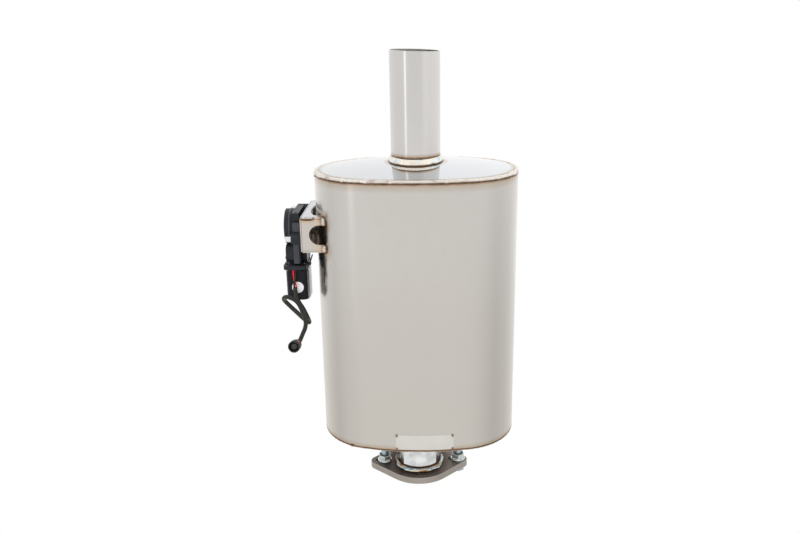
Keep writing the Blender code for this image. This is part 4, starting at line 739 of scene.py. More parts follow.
# %% Loft
def loft(name, rings, material, wrap=False, caps=False, body="muffler", sharp=SHARP, turn_uv=False):
    """Skins rings, which make an array of shape (rows, columns, 3).

    Quad (i, j) joins points (i, j), (i, j+1), (i+1, j+1) and (i+1, j), where j+1 wraps round
    and i+1 wraps too if wrap is set. UV is (j, i) times the mean step along each, in metres,
    or (i, j) with turn_uv.
    """
    rings = np.array(rings)
    rows, columns = rings.shape[:2]
    last = rows if wrap else rows - 1
    i, j = np.meshgrid(np.arange(last), np.arange(columns), indexing="ij")
    corners = [((i + down) % rows) * columns + (j + right) % columns
               for down, right in ((0, 0), (0, 1), (1, 1), (1, 0))]
    faces = np.stack(corners, axis=-1).reshape(-1, 4).tolist()
    if caps:
        faces.append(list(range(columns))[::-1])
        faces.append(list(range((rows - 1) * columns, rows * columns)))
    mesh = bpy.data.meshes.new(name)
    mesh.from_pydata(rings.reshape(-1, 3).tolist(), [], faces)
    along = np.linalg.norm(np.roll(rings, -1, axis=1) - rings, axis=2).max(axis=0)
    across = np.linalg.norm(np.roll(rings, -1, axis=0) - rings, axis=2).mean(axis=1)
    u_at = np.concatenate([[0.0], np.cumsum(along)])
    v_at = np.concatenate([[0.0], np.cumsum(across)])
    u = np.stack([u_at[j], u_at[j + 1], u_at[j + 1], u_at[j]], axis=-1)
    v = np.stack([v_at[i], v_at[i], v_at[i + 1], v_at[i + 1]], axis=-1)
    if turn_uv:
        u, v = v, u
    layer = mesh.uv_layers.new(name="UVMap")
    flat = np.zeros((len(mesh.loops), 2))
    flat[: u.size] = np.stack([u.reshape(-1), v.reshape(-1)], axis=-1)
    layer.data.foreach_set("uv", flat.ravel())
    work = bmesh.new()
    work.from_mesh(mesh)
    bmesh.ops.recalc_face_normals(work, faces=work.faces)
    work.to_mesh(mesh)
    work.free()
    return add_piece(name, mesh, material, body, sharp)


print("loft ready")

# %% [markdown]
# ## The can's oval
# The can's outline is two round ends joined by two flatter arcs, which meet them without a kink.
# Its points lie at even steps of its length, so that a weld round it has even ripples.

# %% The can's oval
SIDE_DROP = BODY_HALF_WIDTH - END_RADIUS
SIDE_OFFSET = (END_CENTRE**2 - SIDE_DROP**2) / (2.0 * SIDE_DROP)
SIDE_RADIUS = BODY_HALF_WIDTH + SIDE_OFFSET
JUNCTION = math.atan2(SIDE_OFFSET, END_CENTRE)


def oval_angles(count):
    """Normal angles t at even steps of the oval's length, where each arc of radius r has ds = r dt."""
    turns = np.array([0.0, 0.0, math.pi, math.pi, 2.0 * math.pi]) + JUNCTION * np.array([-1, 1, -1, 1, -1])
    radii = np.array([END_RADIUS, SIDE_RADIUS, END_RADIUS, SIDE_RADIUS])
    run = np.concatenate([[0.0], np.cumsum(radii * np.diff(turns))])
    return np.interp(np.arange(count) / count * run[-1], run, turns)


def oval(angles, inset=0.0):
    """Points c + (r - inset)(cos t, sin t), with c and r the middle and radius of the arc that holds t."""
    turned = (angles + JUNCTION) % (2.0 * math.pi) - JUNCTION
    right = turned < JUNCTION
    back = (turned >= JUNCTION) & (turned < math.pi - JUNCTION)
    left = (turned >= math.pi - JUNCTION) & (turned < math.pi + JUNCTION)
    centre_x = np.where(right, END_CENTRE, np.where(left, -END_CENTRE, 0.0))
    centre_y = np.where(back, -SIDE_OFFSET, np.where(right | left, 0.0, SIDE_OFFSET))
    radius = np.where(right | left, END_RADIUS, SIDE_RADIUS) - inset
    return np.stack([centre_x + radius * np.cos(turned), centre_y + radius * np.sin(turned)], axis=-1)


oval_turn = oval_angles(OVAL_STEPS)
print("oval of arcs with radius", round(1000 * END_RADIUS, 1), "and", round(1000 * SIDE_RADIUS, 1), "mm")

# %% [markdown]
# ## Routes of the lead
# The motor's two wires run into one sheath, which hangs in a loop and ends in a plug. The
# points are the ones that the CAD model's lead follows, in millimetres.

# %% Routes of the lead
RED_WIRE_ROUTE = (
    (-161.4, -28.7, 306.4), (-161.3, -28.6, 299.0), (-160.6, -28.2, 292.0),
    (-159.0, -28.8, 287.0), (-158.7, -29.4, 284.6), (-158.7, -29.4, 283.5),
)
BLACK_WIRE_ROUTE = (
    (-158.0, -28.7, 306.4), (-158.5, -29.8, 299.0), (-159.7, -30.8, 292.0),
    (-161.0, -30.2, 287.0), (-161.3, -29.8, 284.6), (-161.3, -29.8, 283.5),
)
SHEATH_ROUTE = (
    (-160.0, -29.6, 283.0), (-159.9, -29.6, 277.0), (-158.9, -29.5, 268.7),
    (-155.3, -29.9, 261.1), (-151.2, -29.8, 254.0), (-147.8, -31.2, 247.4),
    (-144.5, -35.3, 242.5), (-141.7, -42.0, 240.3), (-140.7, -50.1, 241.6),
    (-142.7, -57.4, 246.6), (-147.6, -60.8, 253.2), (-153.8, -60.3, 259.4),
    (-160.2, -58.9, 265.2), (-165.0, -59.5, 270.7), (-167.8, -62.4, 275.6),
    (-168.4, -67.2, 280.3), (-166.4, -71.5, 284.0), (-162.6, -75.4, 286.0),
    (-157.8, -78.3, 286.0), (-152.8, -79.8, 284.1), (-148.4, -80.2, 280.0),
    (-145.3, -79.4, 273.5), (-143.6, -74.5, 264.0), (-142.2, -70.2, 254.7),
    (-141.8, -68.3, 247.4), (-143.3, -67.7, 240.2), (-145.7, -69.2, 234.7),
    (-147.5, -72.3, 230.7), (-148.6, -76.4, 228.3), (-149.4, -81.1, 227.5),
    (-149.9, -86.9, 228.3),
)
print("sheath route has", len(SHEATH_ROUTE), "points")

# %% [markdown]
# ## Wires and sheath
# A Blender curve with a round bevel could make these tubes. Their rings are computed here.

# %% Wires and sheath
WIRE_RADIUS = 0.0011
SHEATH_RADIUS = 0.0028
CORD_STEP = 0.0012
TUBE_STEPS = 20
CURVE_STEPS = 24


def smooth_route(route, spacing=CORD_STEP):
    """Even points on the smooth cubic curve through the route, given in millimetres.

    Between points b and c, with a before and d after:
    p(t) = (2b + (c - a) t + (2a - 5b + 4c - d) t^2 + (3b - a - 3c + d) t^3) / 2.
    """
    own = np.array(route) / 1000.0
    held = np.concatenate([[2 * own[0] - own[1]], own, [2 * own[-1] - own[-2]]])
    t = np.linspace(0.0, 1.0, CURVE_STEPS, endpoint=False)[:, None]
    pieces = []
    for a, b, c, d in zip(held, held[1:], held[2:], held[3:]):
        pieces.append(0.5 * (2 * b + (c - a) * t + (2 * a - 5 * b + 4 * c - d) * t**2
                             + (3 * b - a - 3 * c + d) * t**3))
    fine = np.concatenate(pieces + [own[-1:]])
    run = np.concatenate([[0.0], np.cumsum(np.linalg.norm(np.diff(fine, axis=0), axis=1))])
    even = np.linspace(0.0, run[-1], max(8, round(run[-1] / spacing)))
    return np.stack([np.interp(even, run, fine[:, k]) for k in range(3)], axis=-1)


def tube_rings(path, radius):
    """Rings round a path, each square to it and turned as little as possible from the last."""
    ahead = np.gradient(path, axis=0)
    ahead /= np.linalg.norm(ahead, axis=1)[:, None]
    side = np.cross(ahead[0], (0.0, 1.0, 0.0))
    rings = []
    for middle, along, thick in zip(path, ahead, np.broadcast_to(radius, len(path))):
        side = unit(side - along * np.dot(side, along))
        rings.append(middle + thick * around(full_turn(TUBE_STEPS), side, np.cross(along, side)))
    return rings


def add_tube(name, path, radius, material):
    """A round tube along a path, closed at both ends."""
    return loft(name, tube_rings(path, radius), material, caps=True)


red_wire = add_tube("red_lead", smooth_route(RED_WIRE_ROUTE), WIRE_RADIUS, red_insulation)
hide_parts("red_wire")
black_wire = add_tube("black_lead", smooth_route(BLACK_WIRE_ROUTE), WIRE_RADIUS, black_insulation)
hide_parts("black_wire")
sheath_path = smooth_route(SHEATH_ROUTE)
sheath = add_tube("lead_sheath", sheath_path, SHEATH_RADIUS, sheath_rubber)
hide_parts("cable_sheath")

# %% [markdown]
# ## The can's wall
# The real wall is a sheet rolled to an oval. Here the oval is lofted from rim to rim. The hole
# where the valve's shaft comes out is cut with a Boolean, because it doesn't follow the grid.

# %% The can's wall
SHAFT_HEIGHT = 0.5 * (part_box("valve_disc")[0].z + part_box("valve_disc")[1].z)
EXIT_RADIUS = 0.0073
EXIT_DEPTH = 0.02
EXIT_STEPS = 48
WALL_ROWS = 20


def bake_modifiers(piece):
    """Keeps a piece's shape after its modifiers, and drops them."""
    deps = bpy.context.evaluated_depsgraph_get()
    done = bpy.data.meshes.new_from_object(piece.evaluated_get(deps))
    piece.modifiers.clear()
    piece.data = done


def add_body_wall():
    """The oval carried up the outside and down the inside, less a cylinder for the shaft."""
    low = BODY_LOW + 2.0 * BOTTOM_RIM + GAP
    high = BODY_HIGH - 2.0 * TOP_RIM - GAP
    rings = [at_height(oval(oval_turn), height) for height in np.linspace(low, high, WALL_ROWS)]
    rings += [at_height(oval(oval_turn, BODY_WALL), height) for height in (high, low)]
    wall = loft("can_wall", rings, body_steel, wrap=True)
    cutter = bpy.data.meshes.new("exit_cutter")
    work = bmesh.new()
    turn = Matrix.Rotation(0.5 * math.pi, 4, "Y")
    place = Matrix.Translation((-BODY_HALF_LENGTH, 0.0, SHAFT_HEIGHT)) @ turn
    bmesh.ops.create_cone(work, cap_ends=True, segments=EXIT_STEPS, radius1=EXIT_RADIUS,
                          radius2=EXIT_RADIUS, depth=EXIT_DEPTH, matrix=place)
    work.to_mesh(cutter)
    work.free()
    tool = add_object("exit_cutter", cutter)
    cut = wall.modifiers.new("exit", "BOOLEAN")
    cut.operation = "DIFFERENCE"
    cut.object = tool
    bake_modifiers(wall)
    bpy.data.objects.remove(tool)
    shade(wall.data)
    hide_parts("body_shell")


add_body_wall()
print("wall built, with a hole", round(2000 * EXIT_RADIUS, 1), "mm across")

# %% [markdown]
# ## End plates
# Each end plate is pressed sheet with a hole for its pipe. It is a set of insets of the oval
# that turn into a circle round the pipe, and the top one is raised in a low dome.

# %% End plates
PLATE_ROWS = 14
UNDER_ROWS = 8
ROW_CROWDING = 1.2


def domed(ring, edge, dome):
    """The ring raised by dome (1 - s^2), s being each point's share of the way out to the edge."""
    way = np.arctan2(edge[:, 1], edge[:, 0])
    order = np.argsort(way)
    own_way = np.arctan2(ring[:, 1], ring[:, 0])
    reach = np.interp(own_way, way[order], np.hypot(*edge[order].T), period=2.0 * math.pi)
    share = np.hypot(ring[:, 0], ring[:, 1]) / reach
    raised = ring.copy()
    raised[:, 2] += dome * (1.0 - share**2)
    return raised


def add_end_plate(name, node, rim, edge, inward, material, dome=0.0):
    """Plate from its rim bead to the pipe's hole, and back on its inner side.

    A point of share s lies at (1 - s) oval + s circle, at the height edge + inward * depth, and
    is raised by the dome. The rows of the outer side lie closer together near the rim.
    """
    inner = (PIPE_RADIUS + GAP) * around(oval_turn, (1.0, 0.0), (0.0, 1.0))
    start = oval(oval_turn, rim + rim * math.cos(math.asin((rim - RIM_RECESS) / rim)))
    far = oval(oval_turn, 2.0 * rim)
    top = edge + inward * RIM_RECESS
    under = edge + inward * (RIM_RECESS + PLATE_THICKNESS)
    rings = []
    for share in np.linspace(0.0, 1.0, PLATE_ROWS):
        eased = share**ROW_CROWDING
        rings.append(domed(at_height(start * (1.0 - eased) + inner * eased, top), start, dome))
    for share in np.linspace(1.0, 0.0, UNDER_ROWS):
        rings.append(domed(at_height(far * (1.0 - share) + inner * share, under), far, dome))
    rings.append(at_height(far, edge + inward * 2.0 * rim))
    rings.append(at_height(oval(oval_turn, rim), edge + inward * 2.0 * rim))
    plate = loft(name, rings, material, wrap=True)
    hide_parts(node)


add_end_plate("top_sheet", "top_end_plate", TOP_RIM, BODY_HIGH, -1.0, plate_steel, TOP_DOME)
add_end_plate("bottom_sheet", "bottom_end_plate", BOTTOM_RIM, BODY_LOW, 1.0, plate_steel)
print("end plates built")

# %% [markdown]
# ## Rim welds
# The plates' edges are fused to the wall all the way round. The bead is lofted from an arc, and
# it swells where the welder stopped and started again: those are the blobs.

# %% Rim welds
WELD_STEPS = 1024
WELD_WAVE = 0.00012
ARC_ROWS = 12
# Place x, side, length along the weld and height of each blob
TOP_BLOBS = (
    (-0.1270, -1.0, 0.0022, 0.0014),
    (-0.1200, -1.0, 0.0030, 0.0012),
    (-0.0890, -1.0, 0.0020, 0.0007),
    (-0.0570, -1.0, 0.0060, 0.0009),
    (-0.0280, -1.0, 0.0018, 0.0006),
    (0.0385, -1.0, 0.0016, 0.0008),
    (0.1030, -1.0, 0.0018, 0.0006),
    (0.1240, -1.0, 0.0028, 0.0012),
    (-0.0700, 1.0, 0.0050, 0.0009),
    (0.0600, 1.0, 0.0030, 0.0008),
)
BOTTOM_BLOBS = (
    (-0.0880, -1.0, 0.0035, 0.0010),
    (0.0700, 1.0, 0.0040, 0.0009),
)


def add_rim_bead(name, rim, edge, inward, material, blobs):
    """The weld round an end plate's edge: the arc of radius rim, closed on its inner side.

    Its radius swells by WELD_WAVE (sin 61t + sin(143t + 1)) all the way round.
    Each blob (x, side, length, swell) adds swell exp(-((x - x0) / length)^2) to the arc's
    radius on the front (side -1) or back (1).
    """
    turn = oval_angles(WELD_STEPS)
    line = oval(turn)
    swell = WELD_WAVE * (np.sin(61.0 * turn) + np.sin(143.0 * turn + 1.0))
    for x, side, length, height in blobs:
        swell += np.where(line[:, 1] * side > 0.0, height * np.exp(-((line[:, 0] - x) / length)**2), 0.0)
    rings = []
    for t in np.linspace(math.asin((rim - RIM_RECESS) / rim), math.pi, ARC_ROWS):
        inset = rim + (rim + swell) * math.cos(t)
        drop = rim - (0.85 * rim + 0.6 * swell) * math.sin(t)
        ring = oval(turn, inset)
        rings.append(np.column_stack([ring, edge + inward * drop]))
    rings.append(np.column_stack([oval(turn, -swell), edge + inward * (2.0 * rim + swell)]))
    rings.append(at_height(oval(turn, rim - 0.0001), edge + inward * 2.0 * rim))
    loft(name, rings, material, wrap=True, sharp=SOFT_SHARP)


add_rim_bead("top_rim_weld", TOP_RIM, BODY_HIGH, -1.0, rim_bead, TOP_BLOBS)
add_rim_bead("bottom_rim_weld", BOTTOM_RIM, BODY_LOW, 1.0, bottom_bead, BOTTOM_BLOBS)
print("rim welds built")

# %% [markdown]
# ## Fillet welds
# A fillet weld is a small arc in the corner between two faces. One made by hand is never even,
# so its reach wavers round the pipe and has a few lumps.

# %% Fillet welds
# Depth that a weld's section goes into the pipe's wall, and the lumps as (degrees, width, height)
WELD_SINK = 0.0004
OUTLET_LUMPS = ((-49.0, 0.06, -0.35), (-42.0, 0.10, 0.25), (-139.0, 0.08, 0.20), (60.0, 0.10, 0.25))
NECK_LUMPS = ((-38.0, 0.08, 0.45), (-75.0, 0.06, -0.25), (-120.0, 0.10, 0.20), (110.0, 0.10, 0.25))


def fillet(radius, level, bead, direction, steps=9):
    """(radius, height) points of a weld that fills a corner, from the face up to the pipe.

    They lie on a quarter of an ellipse, drawn in by the share 0.14 sin 2t, and two more points
    close the section inside the pipe's wall.
    """
    leg, rise = bead
    points = []
    for t in np.linspace(0.0, 0.5 * math.pi, steps):
        swell = 1.0 - 0.14 * math.sin(2.0 * t)
        points.append((radius + leg * math.cos(t) * swell, level + direction * rise * math.sin(t) * swell))
    return points + [(radius - WELD_SINK, level + direction * rise), (radius - WELD_SINK, level)]


def uneven(rings, lumps):
    """Scales each ring's reach beyond the pipe by 1 + 0.07 sin 9t + 0.04 sin 23t + the lumps at t.

    A lump (angle, width, height) is height exp(-((t - angle) / width)^2).
    """
    turn = np.arctan2(rings[:, :, 1], rings[:, :, 0])
    scale = 1.0 + 0.07 * np.sin(9.0 * turn) + 0.04 * np.sin(23.0 * turn)
    for angle, width, height in lumps:
        away = (turn - math.radians(angle) + math.pi) % (2.0 * math.pi) - math.pi
        scale += height * np.exp(-(away / width)**2)
    reach = np.hypot(rings[:, :, 0], rings[:, :, 1])
    grown = np.where(reach > PIPE_RADIUS, PIPE_RADIUS + (reach - PIPE_RADIUS) * scale, reach)
    shaped = rings.copy()
    shaped[:, :, :2] *= (grown / reach)[:, :, None]
    return shaped


print("fillet welds ready")

# %% [markdown]
# ## Outlet and neck
# Each pipe is a turned profile, outside and bore in one closed loop. The outlet's end is cut a
# little out of square, and its weld sits on the dome of the plate.


# %% Outlet and neck
def add_outlet():
    """Pipe with its end cut out of square. Its weld's foot follows the plate's dome."""
    end = BODY_HIGH + OUTLET_RISE
    start = BODY_HIGH - PIPE_ENTRY
    bore = PIPE_RADIUS - PIPE_WALL
    edge = 0.0003
    profile = [(PIPE_RADIUS, height) for height in np.linspace(start, end - edge, PIPE_ROWS)]
    profile += [(PIPE_RADIUS - edge, end), (bore + edge, end), (bore, end - edge), (bore, start)]
    rings = turned_rings(profile)
    high = rings[:, :, 2] > end - 2.0 * edge
    rings[:, :, 2] -= np.where(high, OUTLET_SLOPE * rings[:, :, 0], 0.0)
    pipe = loft("outlet_tube", rings, pipe_steel, wrap=True)
    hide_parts("outlet_pipe")
    plate_edge = oval(oval_turn, 2.0 * TOP_RIM)
    weld = turned_rings(fillet(PIPE_RADIUS, BODY_HIGH - RIM_RECESS + GAP, OUTLET_BEAD, 1.0), 2 * PIPE_STEPS)
    weld = [domed(ring, plate_edge, TOP_DOME) for ring in uneven(weld, OUTLET_LUMPS)]
    loft("outlet_weld", weld, outlet_bead, wrap=True, sharp=SOFT_SHARP)


def add_neck():
    """Straight tube from the flange up into the can, with a weld at each."""
    bore = PIPE_RADIUS - PIPE_WALL
    low, high = (corner.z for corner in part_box("inlet_neck"))
    profile = [(PIPE_RADIUS, height) for height in np.linspace(low, high, PIPE_ROWS)]
    profile += [(bore, high), (bore, low)]
    neck = loft("neck_tube", turned_rings(profile), pipe_steel, wrap=True)
    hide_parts("inlet_neck")
    foot = turned_rings(fillet(PIPE_RADIUS, FLANGE_TOP + GAP, NECK_BEAD, 1.0), 2 * PIPE_STEPS)
    loft("neck_flange_weld", uneven(foot, NECK_LUMPS), neck_bead, wrap=True, sharp=SOFT_SHARP)
    head = turned_rings(fillet(PIPE_RADIUS, BODY_LOW + RIM_RECESS - GAP, BODY_BEAD, -1.0), 2 * PIPE_STEPS)
    loft("neck_body_weld", head, rim_bead, wrap=True, sharp=SOFT_SHARP)


add_outlet()
add_neck()
print("pipes built")

# %% [markdown]
# ## Crisp copies of the smaller nodes
# A real edge is never perfectly sharp. So each smaller node that shows gets a copy, with its
# flat faces merged and its edges rounded, which stands for the node. The nodes inside the can
# keep their own meshes and only get a material.

# %% Crisp copies of the smaller nodes
FLAT_ANGLE = 0.5
MERGE_DISTANCE = 1e-6
CRISP_SHARP = 40.0
# Material, rounding of the edges, and the nodes that get both
FINISHES = (
    (flange_steel, 0.0004, "inlet_flange"),
    (stud_zinc, 0.0003, "flange_bolt_left flange_bolt_right"),
    (nut_zinc, 0.0003, "flange_nut_left flange_nut_right"),
    (inner_steel, 0.0, "lower_core_tube upper_core_tube lower_baffle upper_baffle valve_housing"),
    (bronze, 0.0, "inner_bush far_bush outer_bush"),
    (inner_steel, 0.0, "bush_cap shaft_guide_tube valve_shaft valve_disc"),
    (zinc_steel, 0.0, "disc_screw_outer disc_screw_inner"),
    (inner_steel, 0.0003, "shaft_coupling"),
    (zinc_steel, 0.0003, "output_drive"),
    (bracket_steel, 0.0003, "bracket_face"),
    (bracket_steel, 0.0002, "bracket_upper_flange bracket_front_cheek bracket_back_cheek"),
    (black_plastic, 0.0009, "gear_housing"),
    (black_plastic, 0.0010, "gear_cover"),
    (screw_cream, 0.0002, "cover_screw_1"),
    (black_screw, 0.0002, "cover_screw_2 cover_screw_3"),
    (screw_cream, 0.0003, "ear_screw_1 ear_screw_2 ear_screw_3"),
    (black_plastic, 0.0005, "motor_flange"),
    (motor_finish, 0.0004, "motor_can"),
    (black_screw, 0.0002, "motor_screw_left motor_screw_right"),
    (tie_nylon, 0.0001, "cable_tie"),
)


def crisp_copy(node, material, rounding):
    """A copy of a CAD node with merged flats, rounded edges and area-weighted normals."""
    source = parts[node]
    work = bmesh.new()
    work.from_mesh(source.data)
    bmesh.ops.remove_doubles(work, verts=work.verts, dist=MERGE_DISTANCE)
    bmesh.ops.dissolve_limit(work, angle_limit=math.radians(FLAT_ANGLE), verts=work.verts, edges=work.edges)
    edges = [edge for edge in work.edges if len(edge.link_faces) == 2]
    sharp = [edge for edge in edges if edge.calc_face_angle() > math.radians(SHARP)]
    bmesh.ops.bevel(work, geom=sharp, offset=rounding, segments=2, profile=0.5, affect="EDGES",
                    clamp_overlap=True)
    mesh = bpy.data.meshes.new(node + "_crisp")
    work.to_mesh(mesh)
    work.free()
    piece = add_piece(node + "_crisp", mesh, material, source["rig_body"], CRISP_SHARP)
    even = piece.modifiers.new("even normals", "WEIGHTED_NORMAL")
    even.keep_sharp = True
    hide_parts(node)


rounded = 0
for material, rounding, nodes in FINISHES:
    for node in nodes.split():
        if rounding:
            crisp_copy(node, material, rounding)
            rounded += 1
            continue
        parts[node].data.materials.clear()
        parts[node].data.materials.append(material)
        shade(parts[node].data)
print("rounded", rounded, "nodes")

# %% [markdown]
# ## The connector
# The connector is turned about the end of the sheath: a tapered boot, a ribbed collar, and an
# open mouth with the contact block set back in it. The inside of the mouth is painted near black
# as shade. A small red seal shows on the collar.

# %% The connector
# (radius, length, rib) of each ring, from the boot to the contact block
CONNECTOR_PROFILE = (
    (0.0037, 0.0000, 0.0), (0.0041, 0.0004, 0.0), (0.0047, 0.0030, 0.0), (0.0048, 0.0054, 0.0),
    (0.0059, 0.0058, 0.0), (0.0063, 0.0062, 0.0), (0.0063, 0.0072, 0.0), (0.0056, 0.0076, 0.0),
    (0.0056, 0.0084, 0.0), (0.0063, 0.0088, 0.0), (0.0063, 0.0104, 0.0), (0.0060, 0.0108, 0.0),
    (0.0070, 0.0112, 0.06), (0.0074, 0.0118, 0.06), (0.0074, 0.0178, 0.06), (0.0072, 0.0184, 0.0),
    (0.0075, 0.0188, 0.0), (0.0075, 0.0208, 0.0), (0.0073, 0.0212, 0.0), (0.0065, 0.0212, 0.0),
    (0.0063, 0.0209, 0.0), (0.0063, 0.0150, 0.0), (0.0040, 0.0150, 0.0), (0.0038, 0.0188, 0.0),
    (0.0034, 0.0191, 0.0),
)
CONNECTOR_STEPS = 96
MOUTH_ROWS = (20, 23)
SEAL_RUN = 0.0148
SEAL_SIDE = -0.0050
SEAL_UP = 0.0052
SEAL_RADIUS = 0.0013
SEAL_RISE = 0.0008
SEAL_SINK = 0.0006


def add_connector(path, gap):
    """Boot, collar and mouth, turned about the last step of the lead's path.

    Each (r, length, rib) of the profile is a ring of radius r (1 - rib |cos 6t|^8).
    """
    ahead = unit(path[-1] - path[-2])
    side = unit(np.cross(ahead, (0.0, 0.0, 1.0)))
    up = np.cross(side, ahead)
    turn = full_turn(CONNECTOR_STEPS)
    rings = []
    for radius, run, rib in CONNECTOR_PROFILE:
        reach = radius * (1.0 - rib * np.abs(np.cos(6.0 * turn))**8)
        rings.append(path[-1] + (gap + run) * ahead + reach[:, None] * around(turn, side, up))
    plug = loft("lead_connector", rings, connector_rubber, caps=True)
    # The mouth's inner faces get the near-black finish: painted shade in the recess
    plug.data.materials.append(painted_shade_mouth)
    first, last = MOUTH_ROWS
    for face in plug.data.polygons[first * CONNECTOR_STEPS:last * CONNECTOR_STEPS]:
        face.material_index = 1
    out = SEAL_SIDE * side + SEAL_UP * up
    middle = path[-1] + (gap + SEAL_RUN) * ahead + out
    out = unit(out)
    circle = around(turn[::4], ahead, np.cross(ahead, out))
    rings = dome_rings(middle, out, circle, SEAL_RADIUS, SEAL_RISE, SEAL_SINK, 6)
    seal = loft("connector_seal", rings, red_insulation, caps=True)
    return plug, seal


connector, seal = add_connector(sheath_path, GAP)
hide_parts("cable_connector")
# The loop's depth is a guess, and the steel would mirror it in the wrong place
for piece in (sheath, connector, seal):
    piece.visible_glossy = False
print("connector added")

# %% [markdown]
# ## Lip and pads of the gear case
# The moulded case has two raised pads on its front side, and its cover has a raised lip. Each
# pad is a rounded rectangle carried through its depth. The lip is one section, turned about
# the cover's own axis, which is the valve shaft's. Pads and lip are painted lighter and bluer
# than the case's black plastic, as the light they catch.

# %% Lip and pads of the gear case
PAD_POWER = 0.22
PAD_STEPS = 48
PAD_ROWS = 12
LIP_STEPS = 96
# Painted light: a lighter, shinier copy of the case's black plastic, standing in for light on the pads and
# lip
painted_light_rib_plastic = make_moulded("painted_light_rib_plastic", (0.030, 0.032, 0.040), 0.26, 0.36, 900.0, 0.00006, 0.5)
PAD_FRONT = -0.0284
PAD_FOOT = -0.0266
# (radius, x) of each ring of the lip
COVER_LIP = (
    (0.0230, -0.1630), (0.0238, -0.1632), (0.0242, -0.1638), (0.0243, -0.1646),
    (0.0242, -0.1654), (0.0238, -0.1660), (0.0230, -0.1662),
)


def add_pad(name, low, high, corner=0.0008):
    """Rounded box: rings middle + half (|cos t|^e sign, |sin t|^e sign), drawn in at both ends."""
    low, high = np.array(low), np.array(high)
    middle, half = 0.5 * (low + high), 0.5 * (high - low)
    circle = around(full_turn(PAD_STEPS), (1.0, 0.0), (0.0, 1.0))
    square = np.sign(circle) * np.abs(circle)**PAD_POWER
    rings = []
    for t in np.linspace(0.0, math.pi, PAD_ROWS):
        drawn = corner * (1.0 - min(1.0, 3.0 * math.sin(t)))
        flat = middle[[0, 2]] + square * (half[[0, 2]] - drawn)
        rings.append(np.insert(flat, 1, middle[1] - math.cos(t) * half[1], axis=1))
    loft(name, rings, painted_light_rib_plastic, caps=True, sharp=SOFT_SHARP)


def add_cover_lip():
    """Rings of points (x, r cos t, r sin t) round the shaft, one for each (r, x) of the section."""
    turn = full_turn(LIP_STEPS)
    middle = np.array([0.0, 0.0, SHAFT_HEIGHT])
    rings = [middle + (x, 0.0, 0.0) + around(turn, (0.0, radius, 0.0), (0.0, 0.0, radius))
             for radius, x in COVER_LIP]
    loft("cover_lip", rings, painted_light_rib_plastic, wrap=True, sharp=SOFT_SHARP)


add_pad("case_front_pad", (-0.1592, PAD_FRONT, 0.3560), (-0.1503, PAD_FOOT, 0.3702))
add_pad("case_low_pad", (-0.1596, PAD_FRONT, 0.3150), (-0.1522, PAD_FOOT, 0.3436))
add_cover_lip()
print("added two pads and the cover's lip")

# %% [markdown]
# ## The bracket's lower plate
# The photograph shows no light through the bracket from below, so the lower plate runs on to
# the can. It has one straight edge, and one that follows the oval.

# %% The bracket's lower plate
LOWER_PLATE_STEPS = 33


def add_lower_plate():
    """Rings of four corners at even steps of y. The edge on the can is at x = -c - sqrt(r^2 - y^2)."""
    low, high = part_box("bracket_lower_flange")
    rings = []
    for y in np.linspace(low.y, high.y, LOWER_PLATE_STEPS):
        edge = -END_CENTRE - math.sqrt((END_RADIUS + GAP)**2 - y**2)
        rings.append([(low.x, y, low.z), (low.x, y, high.z), (edge, y, high.z), (edge, y, low.z)])
    plate = loft("bracket_lower_plate", rings, bracket_steel, caps=True)
    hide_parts("bracket_lower_flange")


add_lower_plate()
print("lower plate added")

# %% [markdown]
# ## The bracket's welds
# The bracket is welded along its upper corners and at the ends of its four legs. A bead is a
# tube whose radius swells at every ripple.

# %% The bracket's welds
# The corner welds lie on the upper edges, a little inside the bracket's sides
BRACKET_BEAD = 0.0027
BEAD_STEP = 0.00025
CORNER_INSET = 0.0021
CORNER_HEIGHT = BRACKET_TOP - 0.0022
CORNER_START = BRACKET_FACE + 0.0004
# Heights between which the upper and the lower legs are welded to the can
LEG_SPANS = ((BRACKET_TOP - 0.0110, BRACKET_TOP - 0.0004), (BRACKET_LOW + 0.0002, BRACKET_LOW + 0.0094))
LEG_LINE = BRACKET_HALF_WIDTH - 0.0005
LEG_LIFT = 0.0012
leg_end = -END_CENTRE - math.sqrt(END_RADIUS**2 - LEG_LINE**2) - LEG_LIFT


def add_bead(name, start, end, radius, material, pitch=0.0019):
    """Bead from start to end, of radius r (1 + 0.10 |sin(pi s / pitch)|) at the length s.

    Both ends are drawn in by sqrt(1 - (2s / length - 1)^4).
    """
    start, end = np.array(start), np.array(end)
    length = np.linalg.norm(end - start)
    run = np.linspace(0.0, length, max(12, int(length / BEAD_STEP)))
    path = start + np.outer(run / length, end - start)
    taper = np.sqrt(np.clip(1.0 - (2.0 * run / length - 1.0)**4, 0.02, 1.0))
    thick = radius * taper * (1.0 + 0.10 * np.abs(np.sin(math.pi * run / pitch)))
    loft(name, tube_rings(path, thick), material, caps=True, sharp=BEAD_SHARP, turn_uv=True)


for side, word in ((-1.0, "front"), (1.0, "back")):
    line = side * (BRACKET_HALF_WIDTH - CORNER_INSET)
    add_bead(word + "_corner_weld", (CORNER_START, line, CORNER_HEIGHT),
             (CORNER_WELD_END, line, CORNER_HEIGHT), BRACKET_BEAD, corner_bead)
    for low, high in LEG_SPANS:
        add_bead(word + "_leg_weld", (leg_end, side * LEG_LINE, low), (leg_end, side * LEG_LINE, high),
                 BRACKET_BEAD, leg_bead)
print("bracket welds added")

# %% [markdown]
# ## Label plate
# A thin plain plate is bent round the foot of the can, and a spot weld holds each corner. Its
# section is carried round the can's front arc, so that it follows the steel under it.

# %% Label plate
# Thickness of the plate, and its gap to the can
LABEL_THICKNESS = 0.0008
LABEL_GAP = 0.0001
SPOT_INSET = 0.0012
SPOT_RADIUS = 0.0018
SPOT_RISE = 0.16 * SPOT_RADIUS
SPOT_SINK = 0.0002
spot_steel = make_plain_metal("spot_weld_steel", (0.40, 0.27, 0.22), 0.25, 0.40, 0.55, 900.0)


